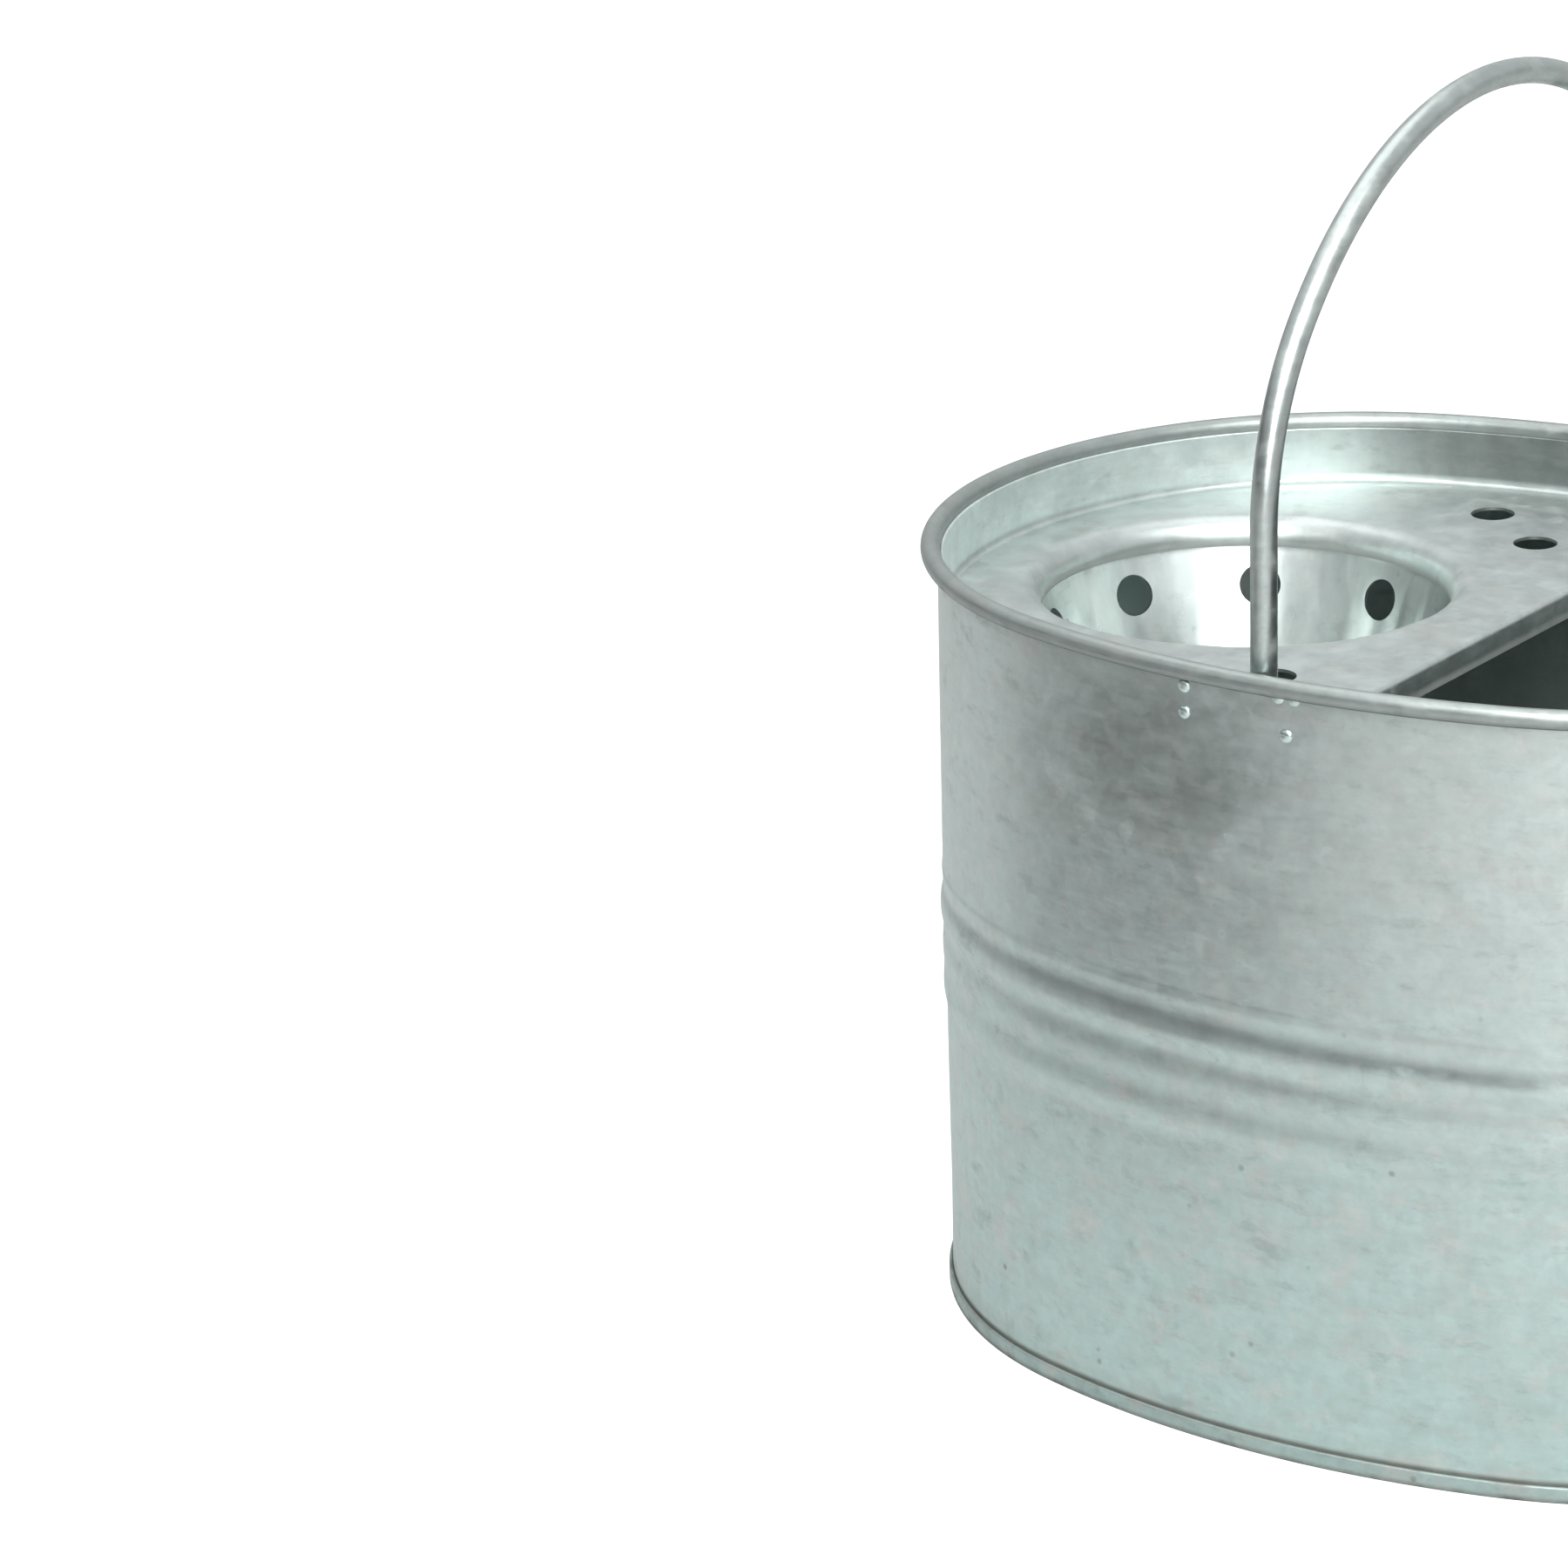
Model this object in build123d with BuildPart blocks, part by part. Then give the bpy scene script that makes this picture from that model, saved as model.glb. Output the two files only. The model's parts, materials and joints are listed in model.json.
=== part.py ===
from build123d import *
import os
from math import asin, atan2, cos, degrees, hypot, radians, sin, sqrt, tan

os.makedirs("parts", exist_ok=True)

# An oval sheet-steel mop bucket with a swinging bail and a wringer fixed over one end of its mouth.
# X runs along the mouth's length with the wringer at -X, Y across it, Z up.
# The origin is the middle of the base, on the floor.  Sizes are in millimetres.

# Overall sizes
RIM_LENGTH = 356.0
RIM_WIDTH = 282.0
HEIGHT = 246.0
SIDE_BULGE = 6.3            # half width less end radius: sets how far the long sides bow out

# Sheets, wire and rod
WALL_SHEET = 0.8
BASE_SHEET = 0.8
PLATE_SHEET = 1.0
CONE_SHEET = 1.0
EAR_SHEET = 1.4
RIM_WIRE_RADIUS = 2.2
BAIL_RADIUS = 4.0

# Wall
WALL_TAPER = 1.2            # how far the wall leans in below the lowest swage
SWAGE_HEIGHTS = (101.9, 115.0, 128.1)
SWAGE_WIDTH = 12.5
SWAGE_DEPTH = 0.7

# Base seam
SEAM_HEIGHT = 5.2
SEAM_SHEET = 1.4            # the folded hem outside the wall
SEAM_ROUND = 0.6
SEAM_FLOOR = 1.2
BASE_RECESS = 5.0

# Wringer plate
PLATE_DROP = 22.3           # from the top of the rim
LEDGE_X = 7.6               # where the plate's straight edge stands
LEDGE_LIP = 9.0
FLANGE_RISE = 18.0
FLANGE_END_X = -13.0
DRAIN_RADIUS = 7.0
DRAIN_PLACES = ((31.4, 36.0), (58.4, 56.3))      # from the cone's axis, from the wall's inner face

# Wringer cone
CONE_SHIFT = -2.1           # from midway between the end wall and the plate's straight edge
THROAT_RADIUS = 63.7        # inside of the plate's turned-down collar
COLLAR_ROUND = 7.0
COLLAR_DROP = 9.0
CONE_DEPTH = 92.0
CONE_LEAN = 17.0            # degrees from upright
CONE_FLOOR_ROUND = 6.0
CONE_HOLE_RADIUS = 6.6
CONE_HOLE_ROWS = ((21.0, 9, 77.5), (48.0, 9, 97.5))      # drop below the plate, count, first angle
FLOOR_HOLE_RADIUS = 4.0
FLOOR_HOLE_CIRCLE = 18.0
FLOOR_HOLE_COUNT = 6

# Bail and ears
PIVOT_DROP = 14.3           # from the top of the rim
BAIL_GAP = 5.1              # between the bail's leg and the wall's inner face
BAIL_RISE = 160.1           # from the pivot to the middle of the bail's crown
CROWN_SPREAD = 10.1         # crown radius less half the distance between the bail's legs
SHOULDER_TUCK = 35.9        # half that distance less the shoulder radius
FOOT_BEND_INSIDE = 1.0
PIN_END_GAP = 0.5
PIN_CLEARANCE = 0.05
EAR_STANDOFF = 2.4          # gap between the wall and the ear's raised eye
EAR_EYE_HALF = 8.5
EAR_FOOT_END_X = 17.5
EAR_PLATE_GAP = 0.3         # between the ear's foot and the wringer plate
EAR_ABOVE = 11.5

# Rivets
EAR_RIVET_X = 13.4
EAR_RIVET_SPREAD = 2.6
EAR_RIVET_TOP_DROP = 6.6    # below the top of the rim
EAR_RIVET_LOW_DROP = 18.0
PLATE_RIVET_X = -21.5
PLATE_RIVET_DROPS = (8.8, 16.8)
RIVET_RADIUS = 1.2
RIVET_HEAD_RADIUS = 2.1
RIVET_HEAD_RISE = 1.0
RIVET_TAIL_RISE = 0.6
RIVET_SEAT = 0.01           # the tail stands off the hollow side of the curved sheet by this

# What follows from them
BEAD_RADIUS = RIM_WIRE_RADIUS + WALL_SHEET
BEAD_HEIGHT = HEIGHT - BEAD_RADIUS
WALL_HALF_LENGTH = RIM_LENGTH / 2 - 2 * BEAD_RADIUS + WALL_SHEET
WALL_HALF_WIDTH = RIM_WIDTH / 2 - 2 * BEAD_RADIUS + WALL_SHEET
END_CENTRE = RIM_LENGTH / 2 - RIM_WIDTH / 2 + SIDE_BULGE
SIDE_CENTRE = (END_CENTRE**2 - SIDE_BULGE**2) / (2 * SIDE_BULGE)
END_TURN = degrees(atan2(SIDE_CENTRE, END_CENTRE))
SIDE_RADIUS = WALL_HALF_WIDTH + SIDE_CENTRE
TAPER_TOP = SWAGE_HEIGHTS[0] - SWAGE_WIDTH / 2
INNER_WALL_Y = WALL_HALF_WIDTH - WALL_SHEET
PLATE_TOP = HEIGHT - PLATE_DROP
CONE_X = (LEDGE_X - WALL_HALF_LENGTH + WALL_SHEET) / 2 + CONE_SHIFT
PIVOT_HEIGHT = HEIGHT - PIVOT_DROP


def oval_line(offset=0.0):
    """Draws the oval's tangent arcs in a BuildLine, this far outside the upper wall's outer face."""
    end_radius = WALL_HALF_LENGTH + offset - END_CENTRE
    side_radius = SIDE_RADIUS + offset
    CenterArc((END_CENTRE, 0), end_radius, 0, END_TURN)
    CenterArc((0, -SIDE_CENTRE), side_radius, END_TURN, 180 - 2 * END_TURN)
    CenterArc((-END_CENTRE, 0), end_radius, 180 - END_TURN, 2 * END_TURN)
    CenterArc((0, SIDE_CENTRE), side_radius, 180 + END_TURN, 180 - 2 * END_TURN)
    CenterArc((END_CENTRE, 0), end_radius, -END_TURN, END_TURN)


def wall_x(height):
    """The outer face's place on +X: upright above the swages, leaning in below, upright in the seam."""
    lean = (TAPER_TOP - height) / (TAPER_TOP - SEAM_HEIGHT)
    return WALL_HALF_LENGTH - WALL_TAPER * min(max(lean, 0.0), 1.0)


def wall_edge(shift):
    """Draws the wall's line from the seam to the bead, moved along X, and returns its two ends."""
    bottom = (wall_x(0) + shift, SEAM_FLOOR)
    seam_top = (wall_x(SEAM_HEIGHT) + shift, SEAM_HEIGHT)
    Line(bottom, seam_top)
    last = seam_top
    for middle in SWAGE_HEIGHTS:
        start = (wall_x(middle - SWAGE_WIDTH / 2) + shift, middle - SWAGE_WIDTH / 2)
        crest = (wall_x(middle) + SWAGE_DEPTH + shift, middle)
        end = (wall_x(middle + SWAGE_WIDTH / 2) + shift, middle + SWAGE_WIDTH / 2)
        Line(last, start)
        ThreePointArc(start, crest, end)
        last = end
    top = (WALL_HALF_LENGTH + shift, BEAD_HEIGHT)
    Line(last, top)
    return bottom, top


def wall_plane(x, height, side):
    """A plane on the upper wall's outer face at x, on the +Y or -Y side, that faces outward."""
    lean = asin(x / SIDE_RADIUS)
    normal = (sin(lean), side * cos(lean), 0)
    place = (SIDE_RADIUS * sin(lean), side * (SIDE_RADIUS * cos(lean) - SIDE_CENTRE), height)
    return Plane(origin=place, x_dir=(0, 0, 1), z_dir=normal)


# Where the rivets stand: x, height
EAR_RIVETS = (
    (EAR_RIVET_X - EAR_RIVET_SPREAD, HEIGHT - EAR_RIVET_TOP_DROP),
    (EAR_RIVET_X + EAR_RIVET_SPREAD, HEIGHT - EAR_RIVET_TOP_DROP),
    (EAR_RIVET_X, HEIGHT - EAR_RIVET_LOW_DROP),
)
PLATE_RIVETS = tuple((PLATE_RIVET_X, HEIGHT - drop) for drop in PLATE_RIVET_DROPS)
SIDES = {"front": -1, "rear": 1}

# ---------------------------------------------------------------- body sheet
with BuildPart() as body_sheet:
    with BuildLine() as wall_path:
        oval_line()
    with BuildSketch(Plane.XZ) as wall_section:
        with BuildLine():
            outer_bottom, outer_top = wall_edge(0)
            inner_bottom, inner_top = wall_edge(-WALL_SHEET)
            Line(outer_bottom, inner_bottom)
            Line(outer_top, inner_top)
        make_face()
        with Locations((RIM_LENGTH / 2 - BEAD_RADIUS, BEAD_HEIGHT)):
            Circle(BEAD_RADIUS)
            Circle(RIM_WIRE_RADIUS, mode=Mode.SUBTRACT)
    sweep(path=wall_path.line)
    for side in SIDES.values():
        for x, height in EAR_RIVETS + PLATE_RIVETS:
            with BuildSketch(wall_plane(x, height, side)):
                Circle(RIVET_RADIUS)
            extrude(amount=-3 * WALL_SHEET, mode=Mode.SUBTRACT)
body_sheet.part.label = "body_sheet"
export_step(body_sheet.part, "parts/body_sheet.step")

# ---------------------------------------------------------------- rim wire, inside the curl
with BuildPart() as rim_wire:
    with BuildLine(Plane.XY.offset(BEAD_HEIGHT)) as wire_path:
        oval_line(BEAD_RADIUS - WALL_SHEET)
    with BuildSketch(Plane.XZ):
        with Locations((RIM_LENGTH / 2 - BEAD_RADIUS, BEAD_HEIGHT)):
            Circle(RIM_WIRE_RADIUS)
    sweep(path=wire_path.line)
rim_wire.part.label = "rim_wire"
export_step(rim_wire.part, "parts/rim_wire.step")

# ---------------------------------------------------------------- base pan and its seam
SEAM_X = wall_x(0)
PAN_X = SEAM_X - WALL_SHEET - BASE_SHEET
with BuildPart() as base_pan:
    with BuildLine() as seam_path:
        oval_line()
    with BuildSketch(Plane.XZ) as seam_section:
        with Locations((SEAM_X, 0)):
            Rectangle(SEAM_SHEET, SEAM_HEIGHT, align=(Align.MIN, Align.MIN))
        outer_corners = seam_section.vertices().group_by(Axis.X)[-1]
        fillet(outer_corners, SEAM_ROUND)
        with Locations((PAN_X, 0)):
            Rectangle(SEAM_X - PAN_X, SEAM_FLOOR, align=(Align.MIN, Align.MIN))
            Rectangle(BASE_SHEET, BASE_RECESS + BASE_SHEET, align=(Align.MIN, Align.MIN))
    sweep(path=seam_path.line)
    with BuildSketch(Plane.XY.offset(BASE_RECESS)):
        with BuildLine():
            oval_line(PAN_X + BASE_SHEET / 2 - WALL_HALF_LENGTH)
        make_face()
    extrude(amount=BASE_SHEET)
base_pan.part.label = "base_pan"
export_step(base_pan.part, "parts/base_pan.step")

# ---------------------------------------------------------------- wringer plate
FLANGE_TOP = PLATE_TOP + FLANGE_RISE
with BuildPart() as wringer_plate:
    with BuildSketch(Plane.XY.offset(PLATE_TOP - PLATE_SHEET)):
        with BuildLine():
            oval_line(-WALL_SHEET)
        make_face()
        with Locations((LEDGE_X, 0)):
            Rectangle(RIM_LENGTH, RIM_WIDTH, align=(Align.MIN, Align.CENTER), mode=Mode.SUBTRACT)
        with Locations((CONE_X, 0)):
            Circle(THROAT_RADIUS + COLLAR_ROUND, mode=Mode.SUBTRACT)
        for from_axis, from_wall in DRAIN_PLACES:
            drain_x = CONE_X + from_axis
            drain_y = INNER_WALL_Y - from_wall
            with Locations((drain_x, drain_y), (drain_x, -drain_y)):
                Circle(DRAIN_RADIUS, mode=Mode.SUBTRACT)
    extrude(amount=PLATE_SHEET)
    with BuildSketch(Plane.XY.offset(PLATE_TOP - PLATE_SHEET)):
        with BuildLine():
            oval_line(-WALL_SHEET)
        make_face()
        with BuildLine():
            oval_line(-WALL_SHEET - PLATE_SHEET)
        make_face(mode=Mode.SUBTRACT)
        with Locations((FLANGE_END_X, 0)):
            Rectangle(RIM_LENGTH, RIM_WIDTH, align=(Align.MIN, Align.CENTER), mode=Mode.SUBTRACT)
    extrude(amount=FLANGE_RISE + PLATE_SHEET)
    with BuildSketch(Plane.XY.offset(PLATE_TOP - LEDGE_LIP)):
        with BuildLine():
            oval_line(-WALL_SHEET - PLATE_SHEET)
        make_face()
        with Locations((LEDGE_X - PLATE_SHEET / 2, 0)):
            Rectangle(PLATE_SHEET, RIM_WIDTH, mode=Mode.INTERSECT)
    extrude(amount=LEDGE_LIP - PLATE_SHEET / 2)
    with BuildSketch(Plane.XZ.shift_origin((CONE_X, 0, 0))) as collar_section:
        with BuildLine():
            outer_bend = (THROAT_RADIUS + COLLAR_ROUND, PLATE_TOP)
            throat = (THROAT_RADIUS, PLATE_TOP - COLLAR_ROUND)
            RadiusArc(outer_bend, throat, -COLLAR_ROUND)
            Polyline(
                throat,
                (THROAT_RADIUS, PLATE_TOP - COLLAR_DROP),
                (THROAT_RADIUS + PLATE_SHEET, PLATE_TOP - COLLAR_DROP),
                (THROAT_RADIUS + PLATE_SHEET, PLATE_TOP - COLLAR_ROUND),
            )
            RadiusArc(
                (THROAT_RADIUS + PLATE_SHEET, PLATE_TOP - COLLAR_ROUND),
                (THROAT_RADIUS + COLLAR_ROUND, PLATE_TOP - PLATE_SHEET),
                COLLAR_ROUND - PLATE_SHEET,
            )
            Line((THROAT_RADIUS + COLLAR_ROUND, PLATE_TOP - PLATE_SHEET), outer_bend)
        make_face()
    revolve(axis=Axis((CONE_X, 0, 0), (0, 0, 1)))
    for side in SIDES.values():
        for x, height in PLATE_RIVETS:
            with BuildSketch(wall_plane(x, height, side)):
                Circle(RIVET_RADIUS)
            extrude(amount=-3 * (WALL_SHEET + PLATE_SHEET), mode=Mode.SUBTRACT)
wringer_plate.part.label = "wringer_plate"
export_step(wringer_plate.part, "parts/wringer_plate.step")

# ---------------------------------------------------------------- wringer cone
BAND_RADIUS = THROAT_RADIUS + PLATE_SHEET
BAND_BOTTOM = PLATE_TOP - COLLAR_DROP
CONE_FOOT = PLATE_TOP - CONE_DEPTH


def cone_radius(height):
    """The cone's inside radius at this height."""
    return BAND_RADIUS - (BAND_BOTTOM - height) * tan(radians(CONE_LEAN))


FOOT_RADIUS = cone_radius(CONE_FOOT)
with BuildPart() as wringer_cone:
    with BuildSketch(Plane.XZ.shift_origin((CONE_X, 0, 0))) as cone_section:
        with BuildLine():
            Polyline(
                (0, CONE_FOOT),
                (FOOT_RADIUS, CONE_FOOT),
                (BAND_RADIUS, BAND_BOTTOM),
                (BAND_RADIUS, PLATE_TOP - COLLAR_ROUND),
                (BAND_RADIUS + CONE_SHEET, PLATE_TOP - COLLAR_ROUND),
                (BAND_RADIUS + CONE_SHEET, BAND_BOTTOM - CONE_SHEET / 2),
                (FOOT_RADIUS + CONE_SHEET, CONE_FOOT - CONE_SHEET),
                (0, CONE_FOOT - CONE_SHEET),
                close=True,
            )
        make_face()
        floor_corners = cone_section.vertices().filter_by(lambda v: v.X > 1).group_by(Axis.Y)
        fillet(floor_corners[1], CONE_FLOOR_ROUND)
        fillet(floor_corners[0], CONE_FLOOR_ROUND + CONE_SHEET)
    revolve(axis=Axis((CONE_X, 0, 0), (0, 0, 1)))
    for drop, count, first in CONE_HOLE_ROWS:
        height = PLATE_TOP - drop
        for turn in range(count):
            angle = radians(first + 360 * turn / count)
            out = (cos(angle) * cos(radians(CONE_LEAN)), sin(angle) * cos(radians(CONE_LEAN)))
            middle = cone_radius(height)
            place = (CONE_X + middle * cos(angle), middle * sin(angle), height)
            facing = Plane(origin=place, z_dir=(out[0], out[1], -sin(radians(CONE_LEAN))))
            with BuildSketch(facing):
                Circle(CONE_HOLE_RADIUS)
            extrude(amount=4 * CONE_SHEET, both=True, mode=Mode.SUBTRACT)
    with BuildSketch(Plane.XY.offset(CONE_FOOT)):
        with Locations((CONE_X, 0)):
            Circle(FLOOR_HOLE_RADIUS)
            with PolarLocations(FLOOR_HOLE_CIRCLE, FLOOR_HOLE_COUNT):
                Circle(FLOOR_HOLE_RADIUS)
    extrude(amount=-2 * CONE_SHEET, mode=Mode.SUBTRACT)
wringer_cone.part.label = "wringer_cone"
export_step(wringer_cone.part, "parts/wringer_cone.step")

# ---------------------------------------------------------------- ears
EYE_OUTER = SIDE_RADIUS - WALL_SHEET - EAR_STANDOFF
EAR_LOW = PLATE_TOP + EAR_PLATE_GAP
EAR_HIGH = PIVOT_HEIGHT + EAR_ABOVE
for name, side in SIDES.items():
    with BuildPart() as ear:
        with BuildSketch(Plane.XY.offset(EAR_LOW)):
            with Locations((0, -side * SIDE_CENTRE)):
                Circle(SIDE_RADIUS - WALL_SHEET)
                Circle(EYE_OUTER - EAR_SHEET, mode=Mode.SUBTRACT)
            ear_middle = (EAR_FOOT_END_X - EAR_EYE_HALF) / 2
            with Locations((ear_middle, side * INNER_WALL_Y)):
                Rectangle(EAR_FOOT_END_X + EAR_EYE_HALF, EAR_FOOT_END_X, mode=Mode.INTERSECT)
            with BuildSketch(Plane.XY.offset(EAR_LOW), mode=Mode.SUBTRACT):
                with Locations((0, -side * SIDE_CENTRE)):
                    Circle(SIDE_RADIUS)
                    Circle(EYE_OUTER, mode=Mode.SUBTRACT)
                with Locations((0, side * INNER_WALL_Y)):
                    Rectangle(2 * (EAR_EYE_HALF - EAR_SHEET), EAR_FOOT_END_X, mode=Mode.INTERSECT)
            with BuildSketch(Plane.XY.offset(EAR_LOW), mode=Mode.SUBTRACT):
                with Locations((0, -side * SIDE_CENTRE)):
                    Circle(SIDE_RADIUS - WALL_SHEET - EAR_SHEET)
                with Locations((EAR_EYE_HALF + EAR_FOOT_END_X / 2, side * INNER_WALL_Y)):
                    Rectangle(EAR_FOOT_END_X, EAR_FOOT_END_X, mode=Mode.INTERSECT)
        extrude(amount=EAR_HIGH - EAR_LOW)
        with BuildSketch(Plane.XZ.offset(-side * INNER_WALL_Y)):
            with Locations((0, PIVOT_HEIGHT)):
                Circle(BAIL_RADIUS + PIN_CLEARANCE)
        extrude(amount=EAR_STANDOFF + 2 * EAR_SHEET, both=True, mode=Mode.SUBTRACT)
        for x, height in EAR_RIVETS:
            with BuildSketch(wall_plane(x, height, side)):
                Circle(RIVET_RADIUS)
            extrude(amount=-3 * (WALL_SHEET + EAR_SHEET), mode=Mode.SUBTRACT)
    ear.part.label = name + "_ear"
    export_step(ear.part, "parts/" + name + "_ear.step")


def rivets(planes, grip):
    """Adds a rivet at each plane: a domed head outside the wall, a shank, and a low tail inside."""
    upward = (Align.CENTER, Align.CENTER, Align.MIN)
    downward = (Align.CENTER, Align.CENTER, Align.MAX)
    for plane in planes:
        with Locations(plane):
            Cylinder(RIVET_HEAD_RADIUS, RIVET_HEAD_RISE / 2, align=upward)
            Cylinder(RIVET_RADIUS, grip + RIVET_SEAT, align=downward)
        with Locations(plane.offset(RIVET_HEAD_RISE / 2)):
            Cone(RIVET_HEAD_RADIUS, RIVET_HEAD_RADIUS / 2, RIVET_HEAD_RISE / 2, align=upward)
        with Locations(plane.offset(-grip - RIVET_SEAT)):
            Cylinder(RIVET_HEAD_RADIUS, RIVET_TAIL_RISE, align=downward)


# ---------------------------------------------------------------- rivets
for name, side in SIDES.items():
    with BuildPart() as ear_rivets:
        rivets([wall_plane(x, height, side) for x, height in EAR_RIVETS], WALL_SHEET + EAR_SHEET)
    ear_rivets.part.label = name + "_ear_rivets"
    export_step(ear_rivets.part, "parts/" + name + "_ear_rivets.step")

with BuildPart() as wringer_rivets:
    for side in SIDES.values():
        rivets([wall_plane(x, height, side) for x, height in PLATE_RIVETS], WALL_SHEET + PLATE_SHEET)
wringer_rivets.part.label = "wringer_rivets"
export_step(wringer_rivets.part, "parts/wringer_rivets.step")

# ---------------------------------------------------------------- bail
LEG_Y = INNER_WALL_Y - BAIL_GAP - BAIL_RADIUS
CROWN_RADIUS = LEG_Y + CROWN_SPREAD
SHOULDER_RADIUS = LEG_Y - SHOULDER_TUCK
FOOT_BEND = BAIL_RADIUS + FOOT_BEND_INSIDE
CROWN_CENTRE = PIVOT_HEIGHT + BAIL_RISE - CROWN_RADIUS
SHOULDER_Y = LEG_Y - SHOULDER_RADIUS
SHOULDER_Z = CROWN_CENTRE + sqrt((CROWN_RADIUS - SHOULDER_RADIUS) ** 2 - SHOULDER_Y**2)
CROWN_SHARE = CROWN_RADIUS / hypot(SHOULDER_Y, SHOULDER_Z - CROWN_CENTRE)
JOIN_Y = SHOULDER_Y * CROWN_SHARE
JOIN_Z = CROWN_CENTRE + (SHOULDER_Z - CROWN_CENTRE) * CROWN_SHARE
SHOULDER_TURN = degrees(atan2(SHOULDER_Z - CROWN_CENTRE, SHOULDER_Y))
PIN_END_Y = INNER_WALL_Y - PIN_END_GAP
with BuildPart() as bail:
    with BuildLine(Plane.YZ) as rod_path:
        Line((-PIN_END_Y, PIVOT_HEIGHT), (-LEG_Y - FOOT_BEND, PIVOT_HEIGHT))
        CenterArc((-LEG_Y - FOOT_BEND, PIVOT_HEIGHT + FOOT_BEND), FOOT_BEND, 270, 90)
        Line((-LEG_Y, PIVOT_HEIGHT + FOOT_BEND), (-LEG_Y, SHOULDER_Z))
        CenterArc((-SHOULDER_Y, SHOULDER_Z), SHOULDER_RADIUS, 180, -SHOULDER_TURN)
        CenterArc((0, CROWN_CENTRE), CROWN_RADIUS, 180 - SHOULDER_TURN, 2 * SHOULDER_TURN - 180)
        CenterArc((SHOULDER_Y, SHOULDER_Z), SHOULDER_RADIUS, SHOULDER_TURN, -SHOULDER_TURN)
        Line((LEG_Y, SHOULDER_Z), (LEG_Y, PIVOT_HEIGHT + FOOT_BEND))
        CenterArc((LEG_Y + FOOT_BEND, PIVOT_HEIGHT + FOOT_BEND), FOOT_BEND, 180, 90)
        Line((LEG_Y + FOOT_BEND, PIVOT_HEIGHT), (PIN_END_Y, PIVOT_HEIGHT))
    with BuildSketch(Plane.XZ.offset(PIN_END_Y)):
        with Locations((0, PIVOT_HEIGHT)):
            Circle(BAIL_RADIUS)
    sweep(path=rod_path.line)
bail.part.label = "bail"
export_step(bail.part, "parts/bail.step")
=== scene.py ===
"""Looks of an oval galvanised mop bucket with a swinging bail and a cone wringer."""

import json
import math

import bmesh
import bpy
import numpy as np
from bpy.props import FloatProperty, FloatVectorProperty, IntProperty, PointerProperty
from mathutils import Matrix, Vector


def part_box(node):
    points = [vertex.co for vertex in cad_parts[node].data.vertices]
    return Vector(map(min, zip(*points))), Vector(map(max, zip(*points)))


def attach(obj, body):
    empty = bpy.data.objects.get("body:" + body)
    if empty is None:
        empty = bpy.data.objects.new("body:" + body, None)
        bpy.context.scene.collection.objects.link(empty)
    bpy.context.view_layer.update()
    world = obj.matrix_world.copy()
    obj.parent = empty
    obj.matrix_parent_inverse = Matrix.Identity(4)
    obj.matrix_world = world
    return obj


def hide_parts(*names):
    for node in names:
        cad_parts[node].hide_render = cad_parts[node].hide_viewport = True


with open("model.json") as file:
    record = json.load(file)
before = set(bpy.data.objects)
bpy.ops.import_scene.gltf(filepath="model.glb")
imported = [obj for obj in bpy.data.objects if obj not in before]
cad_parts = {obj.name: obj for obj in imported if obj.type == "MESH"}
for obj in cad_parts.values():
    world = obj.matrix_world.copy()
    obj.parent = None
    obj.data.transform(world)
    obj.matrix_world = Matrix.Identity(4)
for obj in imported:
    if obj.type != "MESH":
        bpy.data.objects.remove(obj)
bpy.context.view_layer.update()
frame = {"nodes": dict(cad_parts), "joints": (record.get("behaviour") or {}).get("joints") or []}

bl_info = {
    "name": "Galvanised Mop Bucket",
    "version": (1, 0, 0),
    "blender": (4, 5, 0),
    "location": "View3D > Sidebar > Bucket",
    "description": "Builds the visible pieces of an oval galvanised mop bucket around its frame",
    "category": "Add Mesh",
}

MM = 0.001
NODES = frame["nodes"]
HINGE = frame["joints"][0]["pos_m"]

# Corners of the frame's nodes, in metres
BODY_LOW, BODY_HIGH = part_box("body_sheet")
BASE_LOW, BASE_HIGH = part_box("base_pan")
PLATE_LOW, PLATE_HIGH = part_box("wringer_plate")
CONE_LOW, CONE_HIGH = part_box("wringer_cone")
WIRE_LOW, WIRE_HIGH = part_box("rim_wire")

# Sheets
WALL_SHEET = 0.8 * MM
BASE_SHEET = 0.8 * MM
PLATE_SHEET = 1.0 * MM
CONE_SHEET = 1.0 * MM
SHARP = math.radians(35)        # edges that turn more than this stay sharp
RIVET_SHARP = math.radians(50)

# The rim's bead, and the wall's oval: an arc round each end and a flatter one along each side
BEAD_RADIUS = (WIRE_HIGH.z - WIRE_LOW.z) / 2 + WALL_SHEET
BEAD_FOOT = BODY_HIGH.z - 2 * BEAD_RADIUS
WALL_X = BODY_HIGH.x - 2 * BEAD_RADIUS + WALL_SHEET
WALL_Y = BODY_HIGH.y - 2 * BEAD_RADIUS + WALL_SHEET
SIDE_BULGE = 6.3 * MM
END_CENTRE = BODY_HIGH.x - BODY_HIGH.y + SIDE_BULGE
SIDE_CENTRE = (END_CENTRE**2 - SIDE_BULGE**2) / (2 * SIDE_BULGE)
END_TURN = math.atan2(SIDE_CENTRE, END_CENTRE)
END_RADIUS = WALL_X - END_CENTRE
SIDE_RADIUS = WALL_Y + SIDE_CENTRE

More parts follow.
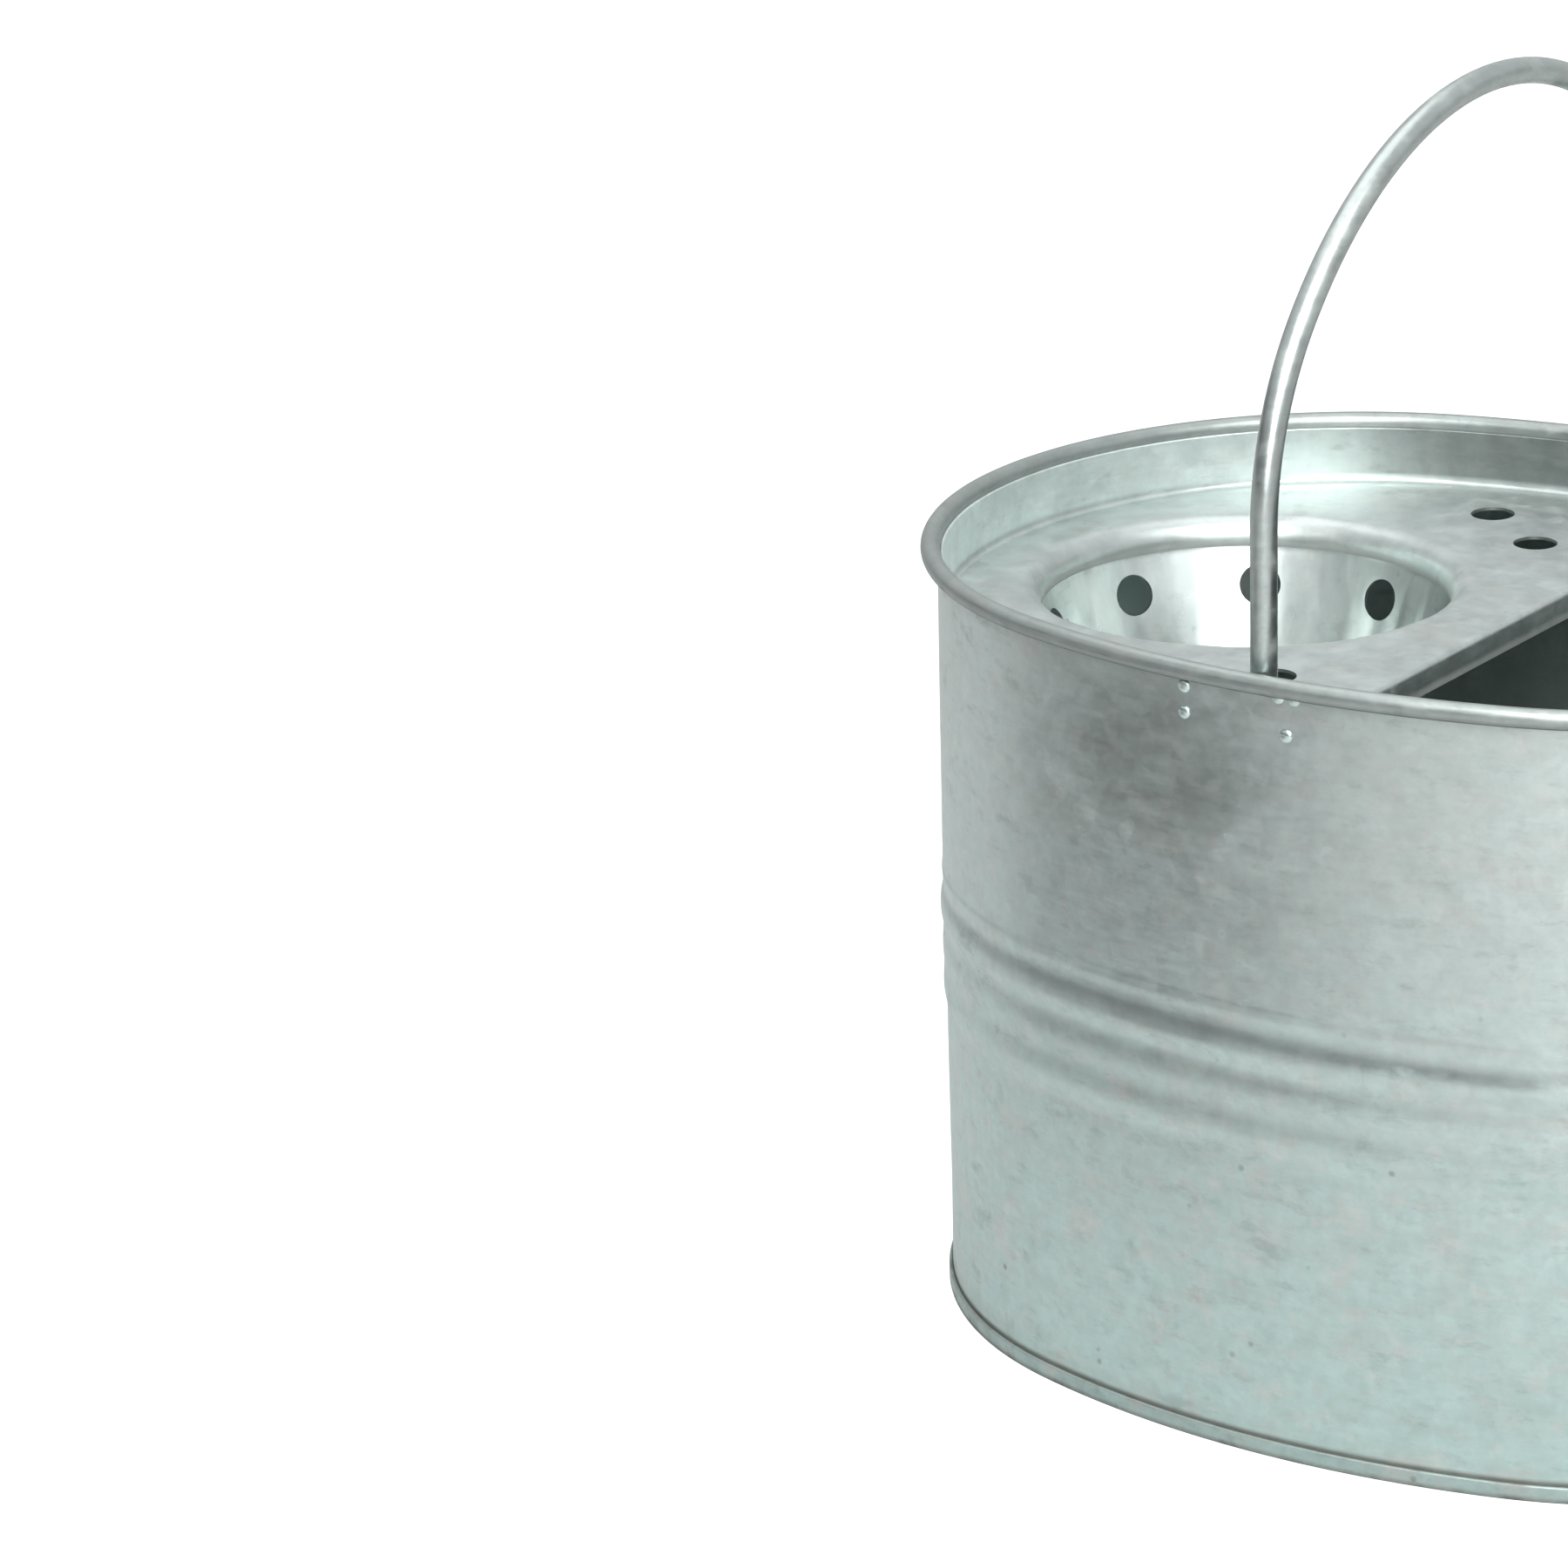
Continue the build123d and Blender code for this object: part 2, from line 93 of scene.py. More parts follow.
# The wall's swages, counted from the middle one, with each one's share of the full depth
SWAGES = ((-1, 0.32), (0, 0.42), (1, 1.1))
SWAGED = (88 * MM, 146 * MM)    # the part of the wall that needs close rows
WALL_ROWS = (26, 78, 30)        # rows below, across and above it
BEAD_STEPS = 22
CREASE_ABOVE = 1.9              # swage pitches from the middle swage to the thin crease
CREASE_HALF = 3.4 * MM
CREASE_RISE = 0.22 * MM
FOOT_STEP = 0.7 * MM            # how far the wall steps in below the lowest swage
FOOT_STEP_REACH = 8 * MM
FOOT_TAPER = 0.4 * MM
WAVES_LOW = (8 * MM, 33 * MM)   # heights over which the wall's waves come in, and go again
WAVES_HIGH = (202 * MM, 232 * MM)

# The base pan's hem and floor
BASE_STEPS = 300
HEM_THICK = 1.4 * MM
HEM_TOP = 5.2 * MM
HEM_GAP = 1.6 * MM              # from the hem's inside to the pan's upright
HEM_FOOT_ROUND = 0.6 * MM
HEM_TOP_ROUND = 0.65 * MM
PAN_FOOT_ROUND = 0.5 * MM
PAN_BEND = 1.2 * MM
FLOOR_RINGS = (3, 8, 16, 28, 44, 62, 80, 98, 114, 124)      # millimetres in from the pan's upright
FLOOR_CROWN = 0.5 * MM
FLOOR_CROWN_REACH = 20 * MM

# The wringer's plate
COLLAR_DROP = 9 * MM
COLLAR_ROUND = 7 * MM
COLLAR_LUMP = 0.5 * MM
PLATE_TOP = PLATE_LOW.z + COLLAR_DROP
PLATE_WAVE = 0.35 * MM
PLATE_EDGE = -WALL_SHEET - 0.05 * MM        # from the wall's outer face, so just clear of its inner one
PLATE_CORNER_GAP = 0.02 * MM
PLATE_AHEAD = 120               # steps along the straight edge, and round the rest
PLATE_ROUND = 200
LIP_FOLD = 1.8 * MM
LIP_DROP = 9 * MM
LIP_WAVE = 0.35 * MM
LEDGE_X = PLATE_HIGH.x - LIP_FOLD
FLANGE_RISE = PLATE_HIGH.z - PLATE_TOP
FLANGE_END_X = -13 * MM
FLANGE_BEND = 1.5 * MM
DRAIN_RADIUS = 7 * MM
# How far each pair of drains is along from the cone's axis and in from the plate's side
DRAIN_PLACES = ((31.4 * MM, 36.0 * MM), (58.4 * MM, 56.3 * MM))
PLATE_DRILL = 20 * MM           # lengths of the drills

# The wringer's cone
CONE_X = (CONE_LOW.x + CONE_HIGH.x) / 2
CONE_BAND = CONE_HIGH.x - CONE_X - CONE_SHEET       # inner radius of the upright band at its top
CONE_BAND_HEIGHT = 2 * MM
CONE_LEAN = math.radians(17)
CONE_BEND = 6 * MM
CONE_ROWS = 40
CONE_STEPS = 240
CONE_HOLE_RADIUS = 6.6 * MM
CONE_HOLE_ROWS = ((21 * MM, 77.5), (48 * MM, 97.5))     # drop below the plate, first hole's degrees
CONE_HOLES = 9
FLOOR_HOLE_RADIUS = 4 * MM
FLOOR_HOLE_CIRCLE = 18 * MM
FLOOR_HOLES = 6
CONE_DRILL = 12 * MM
CONE_FLOOR_DRILL = 10 * MM
LAP_TURN = math.radians(62)
LAP_HALF = math.radians(5)
LAP_FADE = math.radians(1.2)
LAP_RISE = 0.55 * MM
THROAT = CONE_BAND - PLATE_SHEET

# Rivets
RIVET_HEAD = 2.1 * MM
RIVET_SHANK = 1.2 * MM
RIVET_RISE = 1.0 * MM
RIVET_TAIL = 0.6 * MM
RIVET_STEPS = 28
EAR_GRIP = 2.2 * MM             # sheets that a rivet holds together
PLATE_GRIP = 1.8 * MM


# ---------------------------------------------------------------- user settings
class BucketWall(bpy.types.PropertyGroup):
    """Shape of the wall and its swages."""

    round_steps: IntProperty(name="Steps Round", description="Faces round the oval", default=340, min=60)
    swage_height: FloatProperty(
        name="Middle Swage", description="Height of the middle swage", default=115.0 * MM, unit="LENGTH"
    )
    swage_pitch: FloatProperty(
        name="Swage Pitch", description="Distance between swages", default=13.1 * MM, unit="LENGTH"
    )
    swage_width: FloatProperty(
        name="Swage Width", description="Width of one swage", default=13.0 * MM, unit="LENGTH"
    )
    swage_depth: FloatProperty(
        name="Swage Depth", description="How far a swage stands out", default=0.75 * MM, unit="LENGTH"
    )
    dent_depth: FloatProperty(
        name="Dents", description="Depth of the wall's shallow waves", default=0.35 * MM, unit="LENGTH"
    )


class BucketZinc(bpy.types.PropertyGroup):
    """Colours of the zinc coating."""

    grey: FloatVectorProperty(
        name="Zinc Grey", description="The coating's main colour", subtype="COLOR", size=3,
        default=(0.62, 0.685, 0.665), min=0, max=1,
    )
    plain: FloatVectorProperty(
        name="Plain Grey", description="The coating's colour where it has little bloom", subtype="COLOR",
        size=3, default=(0.635, 0.668, 0.65), min=0, max=1,
    )
    teal: FloatVectorProperty(
        name="Cool Bloom", description="Blue-green patches of the coating", subtype="COLOR", size=3,
        default=(0.53, 0.695, 0.675), min=0, max=1,
    )
    rose: FloatVectorProperty(
        name="Warm Bloom", description="Warmer patches of the coating", subtype="COLOR", size=3,
        default=(0.665, 0.69, 0.67), min=0, max=1,
    )
    # The colour of dirt, also used for painted shade in seams, creases and under the bead
    dirt_and_shade: FloatVectorProperty(
        name="Dirt", description="Dirt in seams and corners", subtype="COLOR", size=3,
        default=(0.10, 0.105, 0.09), min=0, max=1,
    )


class BucketStage(bpy.types.PropertyGroup):
    """The camera's place."""

    azimuth: FloatProperty(
        name="Azimuth", description="The camera's direction round the bucket", subtype="ANGLE",
        default=math.radians(36.08),
    )
    elevation: FloatProperty(
        name="Elevation", description="How steeply the camera looks down", subtype="ANGLE",
        default=math.radians(19.01),
    )
    roll: FloatProperty(
        name="Roll", description="Tilt of the camera's horizon", subtype="ANGLE", default=math.radians(-1.5)
    )
    distance: FloatProperty(
        name="Distance", description="From the camera to the bucket", default=2.076, unit="LENGTH"
    )
    aim_left: FloatProperty(
        name="Aim Left", description="How far left of the bucket the camera aims", default=0.2177,
        unit="LENGTH",
    )
    aim_up: FloatProperty(
        name="Aim Up", description="How far above the base the camera aims", default=0.1618, unit="LENGTH"
    )
    lens: FloatProperty(
        name="Lens", description="Focal length in millimetres on a 36 mm sensor", default=151.3, min=1
    )


GROUPS = {"bucket_wall": BucketWall, "bucket_zinc": BucketZinc, "bucket_stage": BucketStage}


# ---------------------------------------------------------------- shader maths
class Value:
    """A shader socket that sums, multiplies and compares in Python expressions by adding Math nodes."""

    def __init__(self, shader, socket):
        self.shader = shader
        self.socket = socket

    def _math(self, operation, *inputs, clamp=False):
        settings = {"operation": operation, "use_clamp": clamp}
        return self.shader.node("ShaderNodeMath", settings, dict(enumerate(inputs)))

    def __add__(self, other):
        return self._math("ADD", self, other)

    def __sub__(self, other):
        return self._math("SUBTRACT", self, other)

    def __mul__(self, other):
        return self._math("MULTIPLY", self, other)

    def __radd__(self, other):
        return self._math("ADD", other, self)

    def __rsub__(self, other):
        return self._math("SUBTRACT", other, self)

    def __rmul__(self, other):
        return self._math("MULTIPLY", other, self)

    def clamp(self):
        """Between 0 and 1."""
        return self._math("ADD", self, 0.0, clamp=True)

    def at_most(self, limit):
        return self._math("MINIMUM", self, limit)

    def turn_from(self, other):
        """The angle of the direction (other, self)."""
        return self._math("ARCTAN2", self, other)

    def ramp(self, low, high):
        """0 below low, 1 above high, smooth between."""
        settings = {"interpolation_type": "SMOOTHSTEP"}
        inputs = {"Value": self, "From Min": low, "From Max": high}
        return self.shader.node("ShaderNodeMapRange", settings, inputs)

    def band(self, middle, half):
        """1 at the middle, 0 further away than half, smooth between."""
        away = self._math("ABSOLUTE", self - middle)
        return 1 - away.ramp(0.0, half)


class Shader:
    """A node tree and short ways to add to it."""

    def __init__(self, tree):
        self.tree = tree
        self.tree.nodes.clear()

    def node(self, kind, settings, inputs, output=0):
        """Adds a node: its settings first, then the values or links of its sockets."""
        made = self.tree.nodes.new(kind)
        for key, value in settings.items():
            setattr(made, key, value)
        for key, value in inputs.items():
            socket = made.inputs[key]
            if isinstance(value, Value):
                self.tree.links.new(value.socket, socket)
            else:
                socket.default_value = value
        return Value(self, made.outputs[output]) if len(made.outputs) else None

    def point(self):
        return self.node("ShaderNodeTexCoord", {}, {}, "Object")

    def split(self, vector):
        """The X, Y and Z of a vector."""
        first = self.node("ShaderNodeSeparateXYZ", {}, {"Vector": vector})
        return tuple(Value(self, socket) for socket in first.socket.node.outputs)

    def stretch(self, vector, x, y, z):
        """A vector multiplied along each axis."""
        return self.node("ShaderNodeVectorMath", {"operation": "MULTIPLY"}, {0: vector, 1: (x, y, z)})

    def noise(self, vector, scale, detail, rough=0.55, distortion=0.0):
        inputs = {"Vector": vector, "Scale": scale, "Detail": detail}
        inputs |= {"Roughness": rough, "Distortion": distortion}
        return self.node("ShaderNodeTexNoise", {}, inputs)

    def cells(self, vector, scale, output="Distance"):
        return self.node("ShaderNodeTexVoronoi", {}, {"Vector": vector, "Scale": scale}, output)

    def mix(self, share, first, second, blend="MIX"):
        """A colour mix: share 0 gives the first colour, 1 the second."""
        settings = {"data_type": "RGBA", "blend_type": blend}
        return self.node("ShaderNodeMix", settings, {0: share, 6: first, 7: second}, 2)

    def grey(self, value):
        """A value as a grey colour."""
        return self.node("ShaderNodeCombineColor", {}, {0: value, 1: value, 2: value})

    def bump(self, height, distance, strength):
        inputs = {"Height": height, "Distance": distance, "Strength": strength}
        return self.node("ShaderNodeBump", {}, inputs)

    def surface(self, **sockets):
        """A Principled surface as the tree's output; a socket's name is given with underscores."""
        inputs = {name.replace("_", " "): value for name, value in sockets.items()}
        shaded = self.node("ShaderNodeBsdfPrincipled", {}, inputs)
        self.node("ShaderNodeOutputMaterial", {}, {"Surface": shaded})


def new_shader(name):
    """A material and its empty shader."""
    material = bpy.data.materials.new(name)
    material.use_nodes = True
    return material, Shader(material.node_tree)


def colour4(colour):
    return tuple(colour) + (1.0,)


# ---------------------------------------------------------------- zinc finishes
# Patterns of the coating: features per metre, octaves, roughness and distortion of the noise
PATCHES = (75.0, 5.0, 0.72)
SCUFFS = (62.0, 5.0, 0.7)
STREAKS = (70.0, 4.0, 0.65)
DRIFTS = (55.0, 4.0, 0.65, 0.6)
CLOUDS = (85.0, 4.0, 0.6, 0.3)
MOTTLES = (260.0, 3.0, 0.6)
SPANGLE_SCALE = 190.0
SPECK_SCALE = 105.0
SPECK_GROUPS = (48.0, 1.0)
SCUFF_STRETCH = (1, 1, 2.6)

# How much each pattern lightens the coating, roughens it and raises it
LIGHTENS = {"drift": 0.16, "cloud": 0.26, "mottle": 0.20, "flake": 0.07, "dull": -0.10, "scuff": -0.15}
ROUGHENS = {"cloud": 0.16, "streak": 0.14, "dull": 0.10, "scuff": 0.08, "soil_and_shade": 0.30, "flake": 0.06}
RAISES = {"drift": 0.5, "cloud": 0.25, "lumps": 0.05}
BRIGHTEST = 1.42                # most that the patterns may lighten the colour
SPECK_DARK = 0.55
BUMP_DISTANCE = 0.5 * MM
BUMP_STRENGTH = 0.5
# How much dirt and painted shade lower the metallic
DIRT_AND_SHADE_METAL_LOSS = 0.8


def weigh(patterns, shares, start):
    """The start value and each pattern's share added together."""
    total = start
    for name, share in shares.items():
        total = total + share * patterns[name]
    return total


def zinc(
    name, gain=1.0, gloss=0.36, bloom=1.0, stretch=(1, 1, 1), grained=(1, 1, 7),
    dirt_and_shade=None, painted_light=None, grime=0.0, grain=1.0, drawing=0.16,
):
    """Hot-dip zinc: cool and warm bloom, spangle, dull blotches, scuffs, dark specks, dirt and painted
    light and shade.

    gain lightens the metal, a painted-light function paints light and shade into it, bloom colours it,
    stretch and grained draw the patterns out, grain sets the fine mottle, drawing the streaks,
    grime the cloudy dirt, and a place function adds its own dirt and painted shade.
    """
    colours = bpy.context.scene.bucket_zinc
    material, s = new_shader(name)
    point = s.point()
    x, y, z = s.split(point)
    drawn = s.stretch(point, *stretch)
    patch = s.noise(drawn, *PATCHES)
    drift = s.noise(drawn, *DRIFTS) - 0.5
    cloud = s.noise(drawn, *CLOUDS)
    spangle = s.cells(point, SPANGLE_SCALE, "Color")
    flake = s.node("ShaderNodeRGBToBW", {}, {"Color": spangle})
    lumps = s.noise(point, *MOTTLES) - 0.5
    patterns = {
        "drift": drift,
        "cloud": cloud - 0.5,
        "lumps": lumps,
        "mottle": grain * lumps,
        "flake": grain * (flake - 0.5),
        "dull": cloud.ramp(0.56, 0.72),
        "scuff": s.noise(s.stretch(point, *SCUFF_STRETCH), *SCUFFS).ramp(0.53, 0.72),
        "streak": s.noise(s.stretch(point, *grained), *STREAKS) - 0.5,
    }

    cool = s.mix((patch + 0.5 * drift).ramp(0.30, 0.50), colour4(colours.rose), colour4(colours.teal))
    cover = bloom(z) if callable(bloom) else bloom
    under = s.mix(cover, colour4(colours.plain), colour4(colours.grey))
    tint = s.mix((cover * (0.575 + 0.75 * drift)).clamp(), under, cool)
    light = gain * weigh(patterns, LIGHTENS | {"streak": drawing}, 1.0)
    # Painted light and shade: the painted-light function brightens or darkens the metal by place
    if painted_light is not None:
        light = light * painted_light(s, x, y, z)
    metal = s.mix(1.0, tint, s.grey(light.at_most(BRIGHTEST)), "MULTIPLY")

    # Darkening towards the dirt colour: cloudy dirt, dark specks, and the place function's dirt and painted
    # shade
    soil_and_shade = grime * cloud.ramp(0.45, 0.75)
    if dirt_and_shade is not None:
        soil_and_shade = soil_and_shade + dirt_and_shade(s, point, x, y, z)
    speck = 1 - s.cells(point, SPECK_SCALE).ramp(0.05, 0.16)
    speck = speck * s.noise(point, *SPECK_GROUPS).ramp(0.60, 0.66)
    soil_and_shade = (soil_and_shade + SPECK_DARK * speck).clamp()
    patterns["soil_and_shade"] = soil_and_shade
    s.surface(
        Base_Color=s.mix(soil_and_shade, metal, colour4(colours.dirt_and_shade)),
        Roughness=weigh(patterns, ROUGHENS, gloss).clamp(),
        Metallic=1 - DIRT_AND_SHADE_METAL_LOSS * soil_and_shade,
        Normal=s.bump(weigh(patterns, RAISES, 0.0), BUMP_DISTANCE, BUMP_STRENGTH),
    )
    return material


def wall_shade_and_dirt(s, point, x, y, z):
    """Painted shade in the base seam, under the bead and in the thin crease, broken with dirt, and an
    uneven darkening over the bead.
    """
    broken = s.noise(s.stretch(point, 1, 1, 3), 120.0, 3.0)
    # Painted shade in the seam above the hem, with broken dirt
    seam = 0.8 * (1 - z.ramp(5.6 * MM, 7.4 * MM)) + 0.25 * (1 - z.ramp(6 * MM, 14 * MM)) * broken
    # Painted shade in a dark line under the bead, with broken dirt below it
    under = 0.9 * z.band(BEAD_FOOT + 0.4 * MM, 1.8 * MM) + 0.2 * z.band(BEAD_FOOT - 2 * MM, 5 * MM) * broken
    # An uneven darkening over the bead
    bead = z.ramp(BEAD_FOOT + 1.2 * MM, BEAD_FOOT + 1.8 * MM) * (0.12 + 0.12 * broken.ramp(0.35, 0.7))
    wall = bpy.context.scene.bucket_wall
    fold = wall.swage_height + 2 * wall.swage_pitch
    # Painted shade in the thin crease, broken up
    crease = 0.15 * z.band(fold, 1.4 * MM) * broken.ramp(0.2, 0.5)
    return seam + under + bead + crease


def wall_bloom(z):
    """More cool bloom low on the wall."""
    return 0.38 + 0.62 * (1 - z.ramp(30 * MM, 220 * MM))


def wall_painted_shade(s, x, y, z):
    """Painted shade: the bead painted darker, a painted dark reflection in a blotch beside the front ear,
    and a painted shaded band above each swage.
    """
    across = x - (HINGE[0] - 30 * MM)
    up = z - 213 * MM
    spread = across * across + 3.2 * up * up
    # A painted dark reflection: a soft dark blotch beside the front ear
    dark_reflection = (1 - spread.ramp(0.0, 0.0024)) * (1 - y.ramp(-0.12, -0.05))
    wall = bpy.context.scene.bucket_wall
    # Painted shade above each swage, standing in for the shading of its relief
    swages = 0.0
    for turn, above, half, share in (
        (1, 5.1 * MM, 3.8 * MM, 0.24), (0, 4.5 * MM, 4 * MM, 0.07), (-1, 4.6 * MM, 4 * MM, 0.05)
    ):
        middle = wall.swage_height + turn * wall.swage_pitch + above
        swages = swages + share * z.band(middle, half)
    # The bead painted darker
    bead = z.ramp(BEAD_FOOT + 0.9 * MM, BEAD_FOOT + 1.7 * MM)
    return (1 - 0.34 * bead) * (1 - 0.19 * dark_reflection) * (1 - swages)


def inside_painted_light(s, x, y, z):
    """Painted light and shade: brighter at the end behind the cone, darker along the sides."""
    return 0.46 + 1.0 * (1 - x.ramp(-0.165, -0.095))


def inside_shade_and_stain(s, point, x, y, z):
    """A stain along the plate, painted shade under the bead, and painted shade low in the bucket."""
    broken = s.noise(point, 60.0, 3.0)
    corner = 0.5 * z.band(PLATE_TOP + 0.6 * MM, 0.9 * MM) * broken.ramp(0.3, 0.6)
    # Painted shade along the bead's foot
    rim = 0.5 * z.band(BEAD_FOOT + 0.3 * MM, 1.1 * MM)
    # Painted shade, darker low in the bucket
    return corner + rim + 0.42 * (1 - z.ramp(150 * MM, 215 * MM))


def base_shade_and_dirt(s, point, x, y, z):
    """Painted shade round the hem's top and a painted contact shadow on its foot, with dirt in spots on the
    floor.
    """
    broken = s.noise(point, 90.0, 3.0)
    # Painted shade in the groove at the hem's top
    top = 0.6 * z.band(HEM_TOP + 0.1 * MM, 0.9 * MM)
    # A painted contact shadow on the hem's foot, and dirt in spots
    return top + 0.65 * (1 - z.ramp(0.5 * MM, 2.4 * MM)) + 0.2 * broken.ramp(0.5, 0.7)


def plate_stain_and_shade(s, point, x, y, z):
    """Stains on the plate and painted shade under the collar."""
    stain = s.noise(point, 26.0, 4.0).ramp(0.55, 0.75)
    # Stains, and a painted shadow line under the collar where the cone sits
    return 0.14 * stain + 0.55 * (1 - z.ramp(PLATE_LOW.z, PLATE_LOW.z + 3 * MM))


def plate_flange_painted_light(s, x, y, z):
    """The flange is painted with the same light and shade as the wall inside; the flat sheet is even."""
    flange = z.ramp(PLATE_TOP + 1.3 * MM, PLATE_TOP + 3.3 * MM)
    return 1 + flange * (inside_painted_light(s, x, y, z) - 1)


def cone_painted_light(s, x, y, z):
    """Painted light: a painted highlight on the cone's back-left, and painted shade round the lap seam."""
    turn = y.turn_from(x - CONE_X)
    # A painted highlight on the cone's back-left
    painted_highlight = turn.band(math.radians(127), math.radians(36))
    # Painted shade round the lap seam and the cone's right side
    dull = 1 - turn.ramp(math.radians(74), math.radians(98))
    dull = dull * turn.ramp(math.radians(-60), math.radians(-10))
    return 0.98 + 0.75 * painted_highlight - 0.58 * dull


def paint(name, material):
    """Gives a piece, or a node of the frame, one material."""
    piece = NODES.get(name) or bpy.data.objects[name]
    piece.data.materials.clear()
    piece.data.materials.append(material)


# ---------------------------------------------------------------- mesh work
def oval_turns(count):
    """Directions of the oval's normal, evenly spaced along its four arcs."""
    end = END_TURN
    end_length = 2 * end * END_RADIUS
    side_length = (math.pi - 2 * end) * SIDE_RADIUS
    ends = round(count * end_length / (end_length + side_length) / 2)
    sides = round(count / 2) - ends
    spans = (
        (-end, end, ends), (end, math.pi - end, sides),
        (math.pi - end, math.pi + end, ends), (math.pi + end, 2 * math.pi - end, sides),
    )
    return np.concatenate([np.linspace(a, b, n, endpoint=False) for a, b, n in spans])


def oval_points(turn, offsets):
    """Places in this direction on the oval, each this far outside the upper wall's outer face."""
    if abs(math.sin(turn)) <= math.sin(END_TURN):
        middle, radius = (math.copysign(END_CENTRE, math.cos(turn)), 0), END_RADIUS
    else:
        middle, radius = (0, -math.copysign(SIDE_CENTRE, math.sin(turn))), SIDE_RADIUS
    reach = radius + offsets
    return middle[0] + reach * math.cos(turn), middle[1] + reach * math.sin(turn)


def sweep_oval(around, section):
    """A section of (offset, height) at each of these directions round the oval."""
    offsets, heights = np.array(section).T
    points = []
    for turn in around:
        px, py = oval_points(turn, offsets)
        points.extend(zip(px, py, heights))
    return points


def arc(middle, radius, start, end, steps):
    """Points of an arc in a section, angles in degrees."""
    turns = np.radians(np.linspace(start, end, steps))
    return [(middle[0] + radius * math.cos(t), middle[1] + radius * math.sin(t)) for t in turns]


def grid_faces(rows, columns, loop_rows, loop_columns):
    """Quads of a grid of vertices, joined end to end where a direction loops."""
    faces = []
    for row in range(rows if loop_rows else rows - 1):
        following = (row + 1) % rows
        for column in range(columns if loop_columns else columns - 1):
            after = (column + 1) % columns
            faces.append((
                row * columns + column, row * columns + after,
                following * columns + after, following * columns + column,
            ))
    return faces


def capped(points, rows, columns):
    """A closed section's points along a line, with both ends closed."""
    faces = grid_faces(rows, columns, False, True)
    faces.append(tuple(range(columns)))
    faces.append(tuple((rows - 1) * columns + i for i in reversed(range(columns))))
    return points, faces


def smooth(mesh, sharp=SHARP):
    mesh.shade_smooth()
    mesh.set_sharp_from_angle(angle=sharp)


def make_piece(name, points, faces, slot, replaced):
    """A smooth-shaded mesh piece that rides on the bucket and stands for a node of the frame."""
    mesh = bpy.data.meshes.new(name)
    mesh.from_pydata([tuple(point) for point in points], [], faces)
    mesh.validate()
    work = bmesh.new()
    work.from_mesh(mesh)
    bmesh.ops.recalc_face_normals(work, faces=work.faces)
    work.to_mesh(mesh)
    work.free()
    smooth(mesh)
    return place_piece(name, mesh, replaced)


def place_piece(name, mesh, replaced):
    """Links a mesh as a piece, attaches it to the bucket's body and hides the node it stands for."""
    piece = bpy.data.objects.new(name, mesh)
    bpy.context.scene.collection.objects.link(piece)
    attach(piece, "bucket")
    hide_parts(replaced)
    return piece


def drill(piece, places, radius, depth):
    """Cuts round holes: each place is a point and a direction."""
    work = bmesh.new()
    for point, direction in places:
        turn = Vector(direction).to_track_quat("Z", "Y").to_matrix().to_4x4()
        bmesh.ops.create_cone(
            work, cap_ends=True, segments=48, radius1=radius, radius2=radius, depth=depth,
            matrix=Matrix.Translation(point) @ turn,
        )
    mesh = bpy.data.meshes.new("drill")
    work.to_mesh(mesh)
    work.free()
    tool = bpy.data.objects.new("drill", mesh)
    bpy.context.scene.collection.objects.link(tool)
    cut = piece.modifiers.new("holes", "BOOLEAN")
    cut.operation = "DIFFERENCE"
    cut.solver = "EXACT"
    cut.object = tool
    bpy.context.view_layer.update()
    made = piece.evaluated_get(bpy.context.evaluated_depsgraph_get())
    drilled = bpy.data.meshes.new_from_object(made)
    piece.modifiers.clear()
    piece.data = drilled
    smooth(drilled)
    bpy.data.objects.remove(tool)
    bpy.data.meshes.remove(mesh)


def fade(value, low, high):
    """0 at low, 1 at high, straight between."""
    return np.clip((value - low) / (high - low), 0, 1)


def ease(share):
    """A share from 0 to 1 that starts and stops softly."""
    return share * share * (3 - 2 * share)


def hump(distance, half):
    """1 at no distance, 0 further away than half, a cosine between."""
    return 0.5 + 0.5 * np.cos(math.pi * np.clip(np.abs(distance) / half, 0, 1))


# ---------------------------------------------------------------- wall
# Shallow waves of a hand-handled sheet: waves round it, radians per metre up it, phase, share
WAVES = (
    (3, 9.0, 0.4, 1.0), (5, -14.0, 1.9, 0.8), (7, 22.0, 3.1, 0.55), (11, -31.0, 0.9, 0.4),
    (13, 17.0, 5.2, 0.4), (17, 44.0, 2.3, 0.22), (23, -38.0, 4.4, 0.18), (29, 61.0, 1.2, 0.12),
)
WAVES_SCALE = 2.2


def waves(turns, heights):
    total = np.zeros(np.broadcast(turns, heights).shape)
    for around, up, phase, share in WAVES:
        total += share * np.sin(around * turns + up * heights + phase)
    return total / WAVES_SCALE


def swage_profile(heights, wall):
    """How far the outer face stands outside the upper wall's: swages, a crease and a step in."""
    offset = np.zeros_like(heights)
    for turn, share in SWAGES:
        middle = wall.swage_height + turn * wall.swage_pitch
        offset += share * wall.swage_depth * hump(heights - middle, 0.5 * wall.swage_width)
    crease = wall.swage_height + CREASE_ABOVE * wall.swage_pitch
    offset += CREASE_RISE * hump(heights - crease, CREASE_HALF)
    foot = wall.swage_height - wall.swage_pitch
    offset -= FOOT_STEP * ease(fade(heights, foot, foot - FOOT_STEP_REACH))
    offset -= FOOT_TAPER * fade(heights, foot, 0)
    return offset


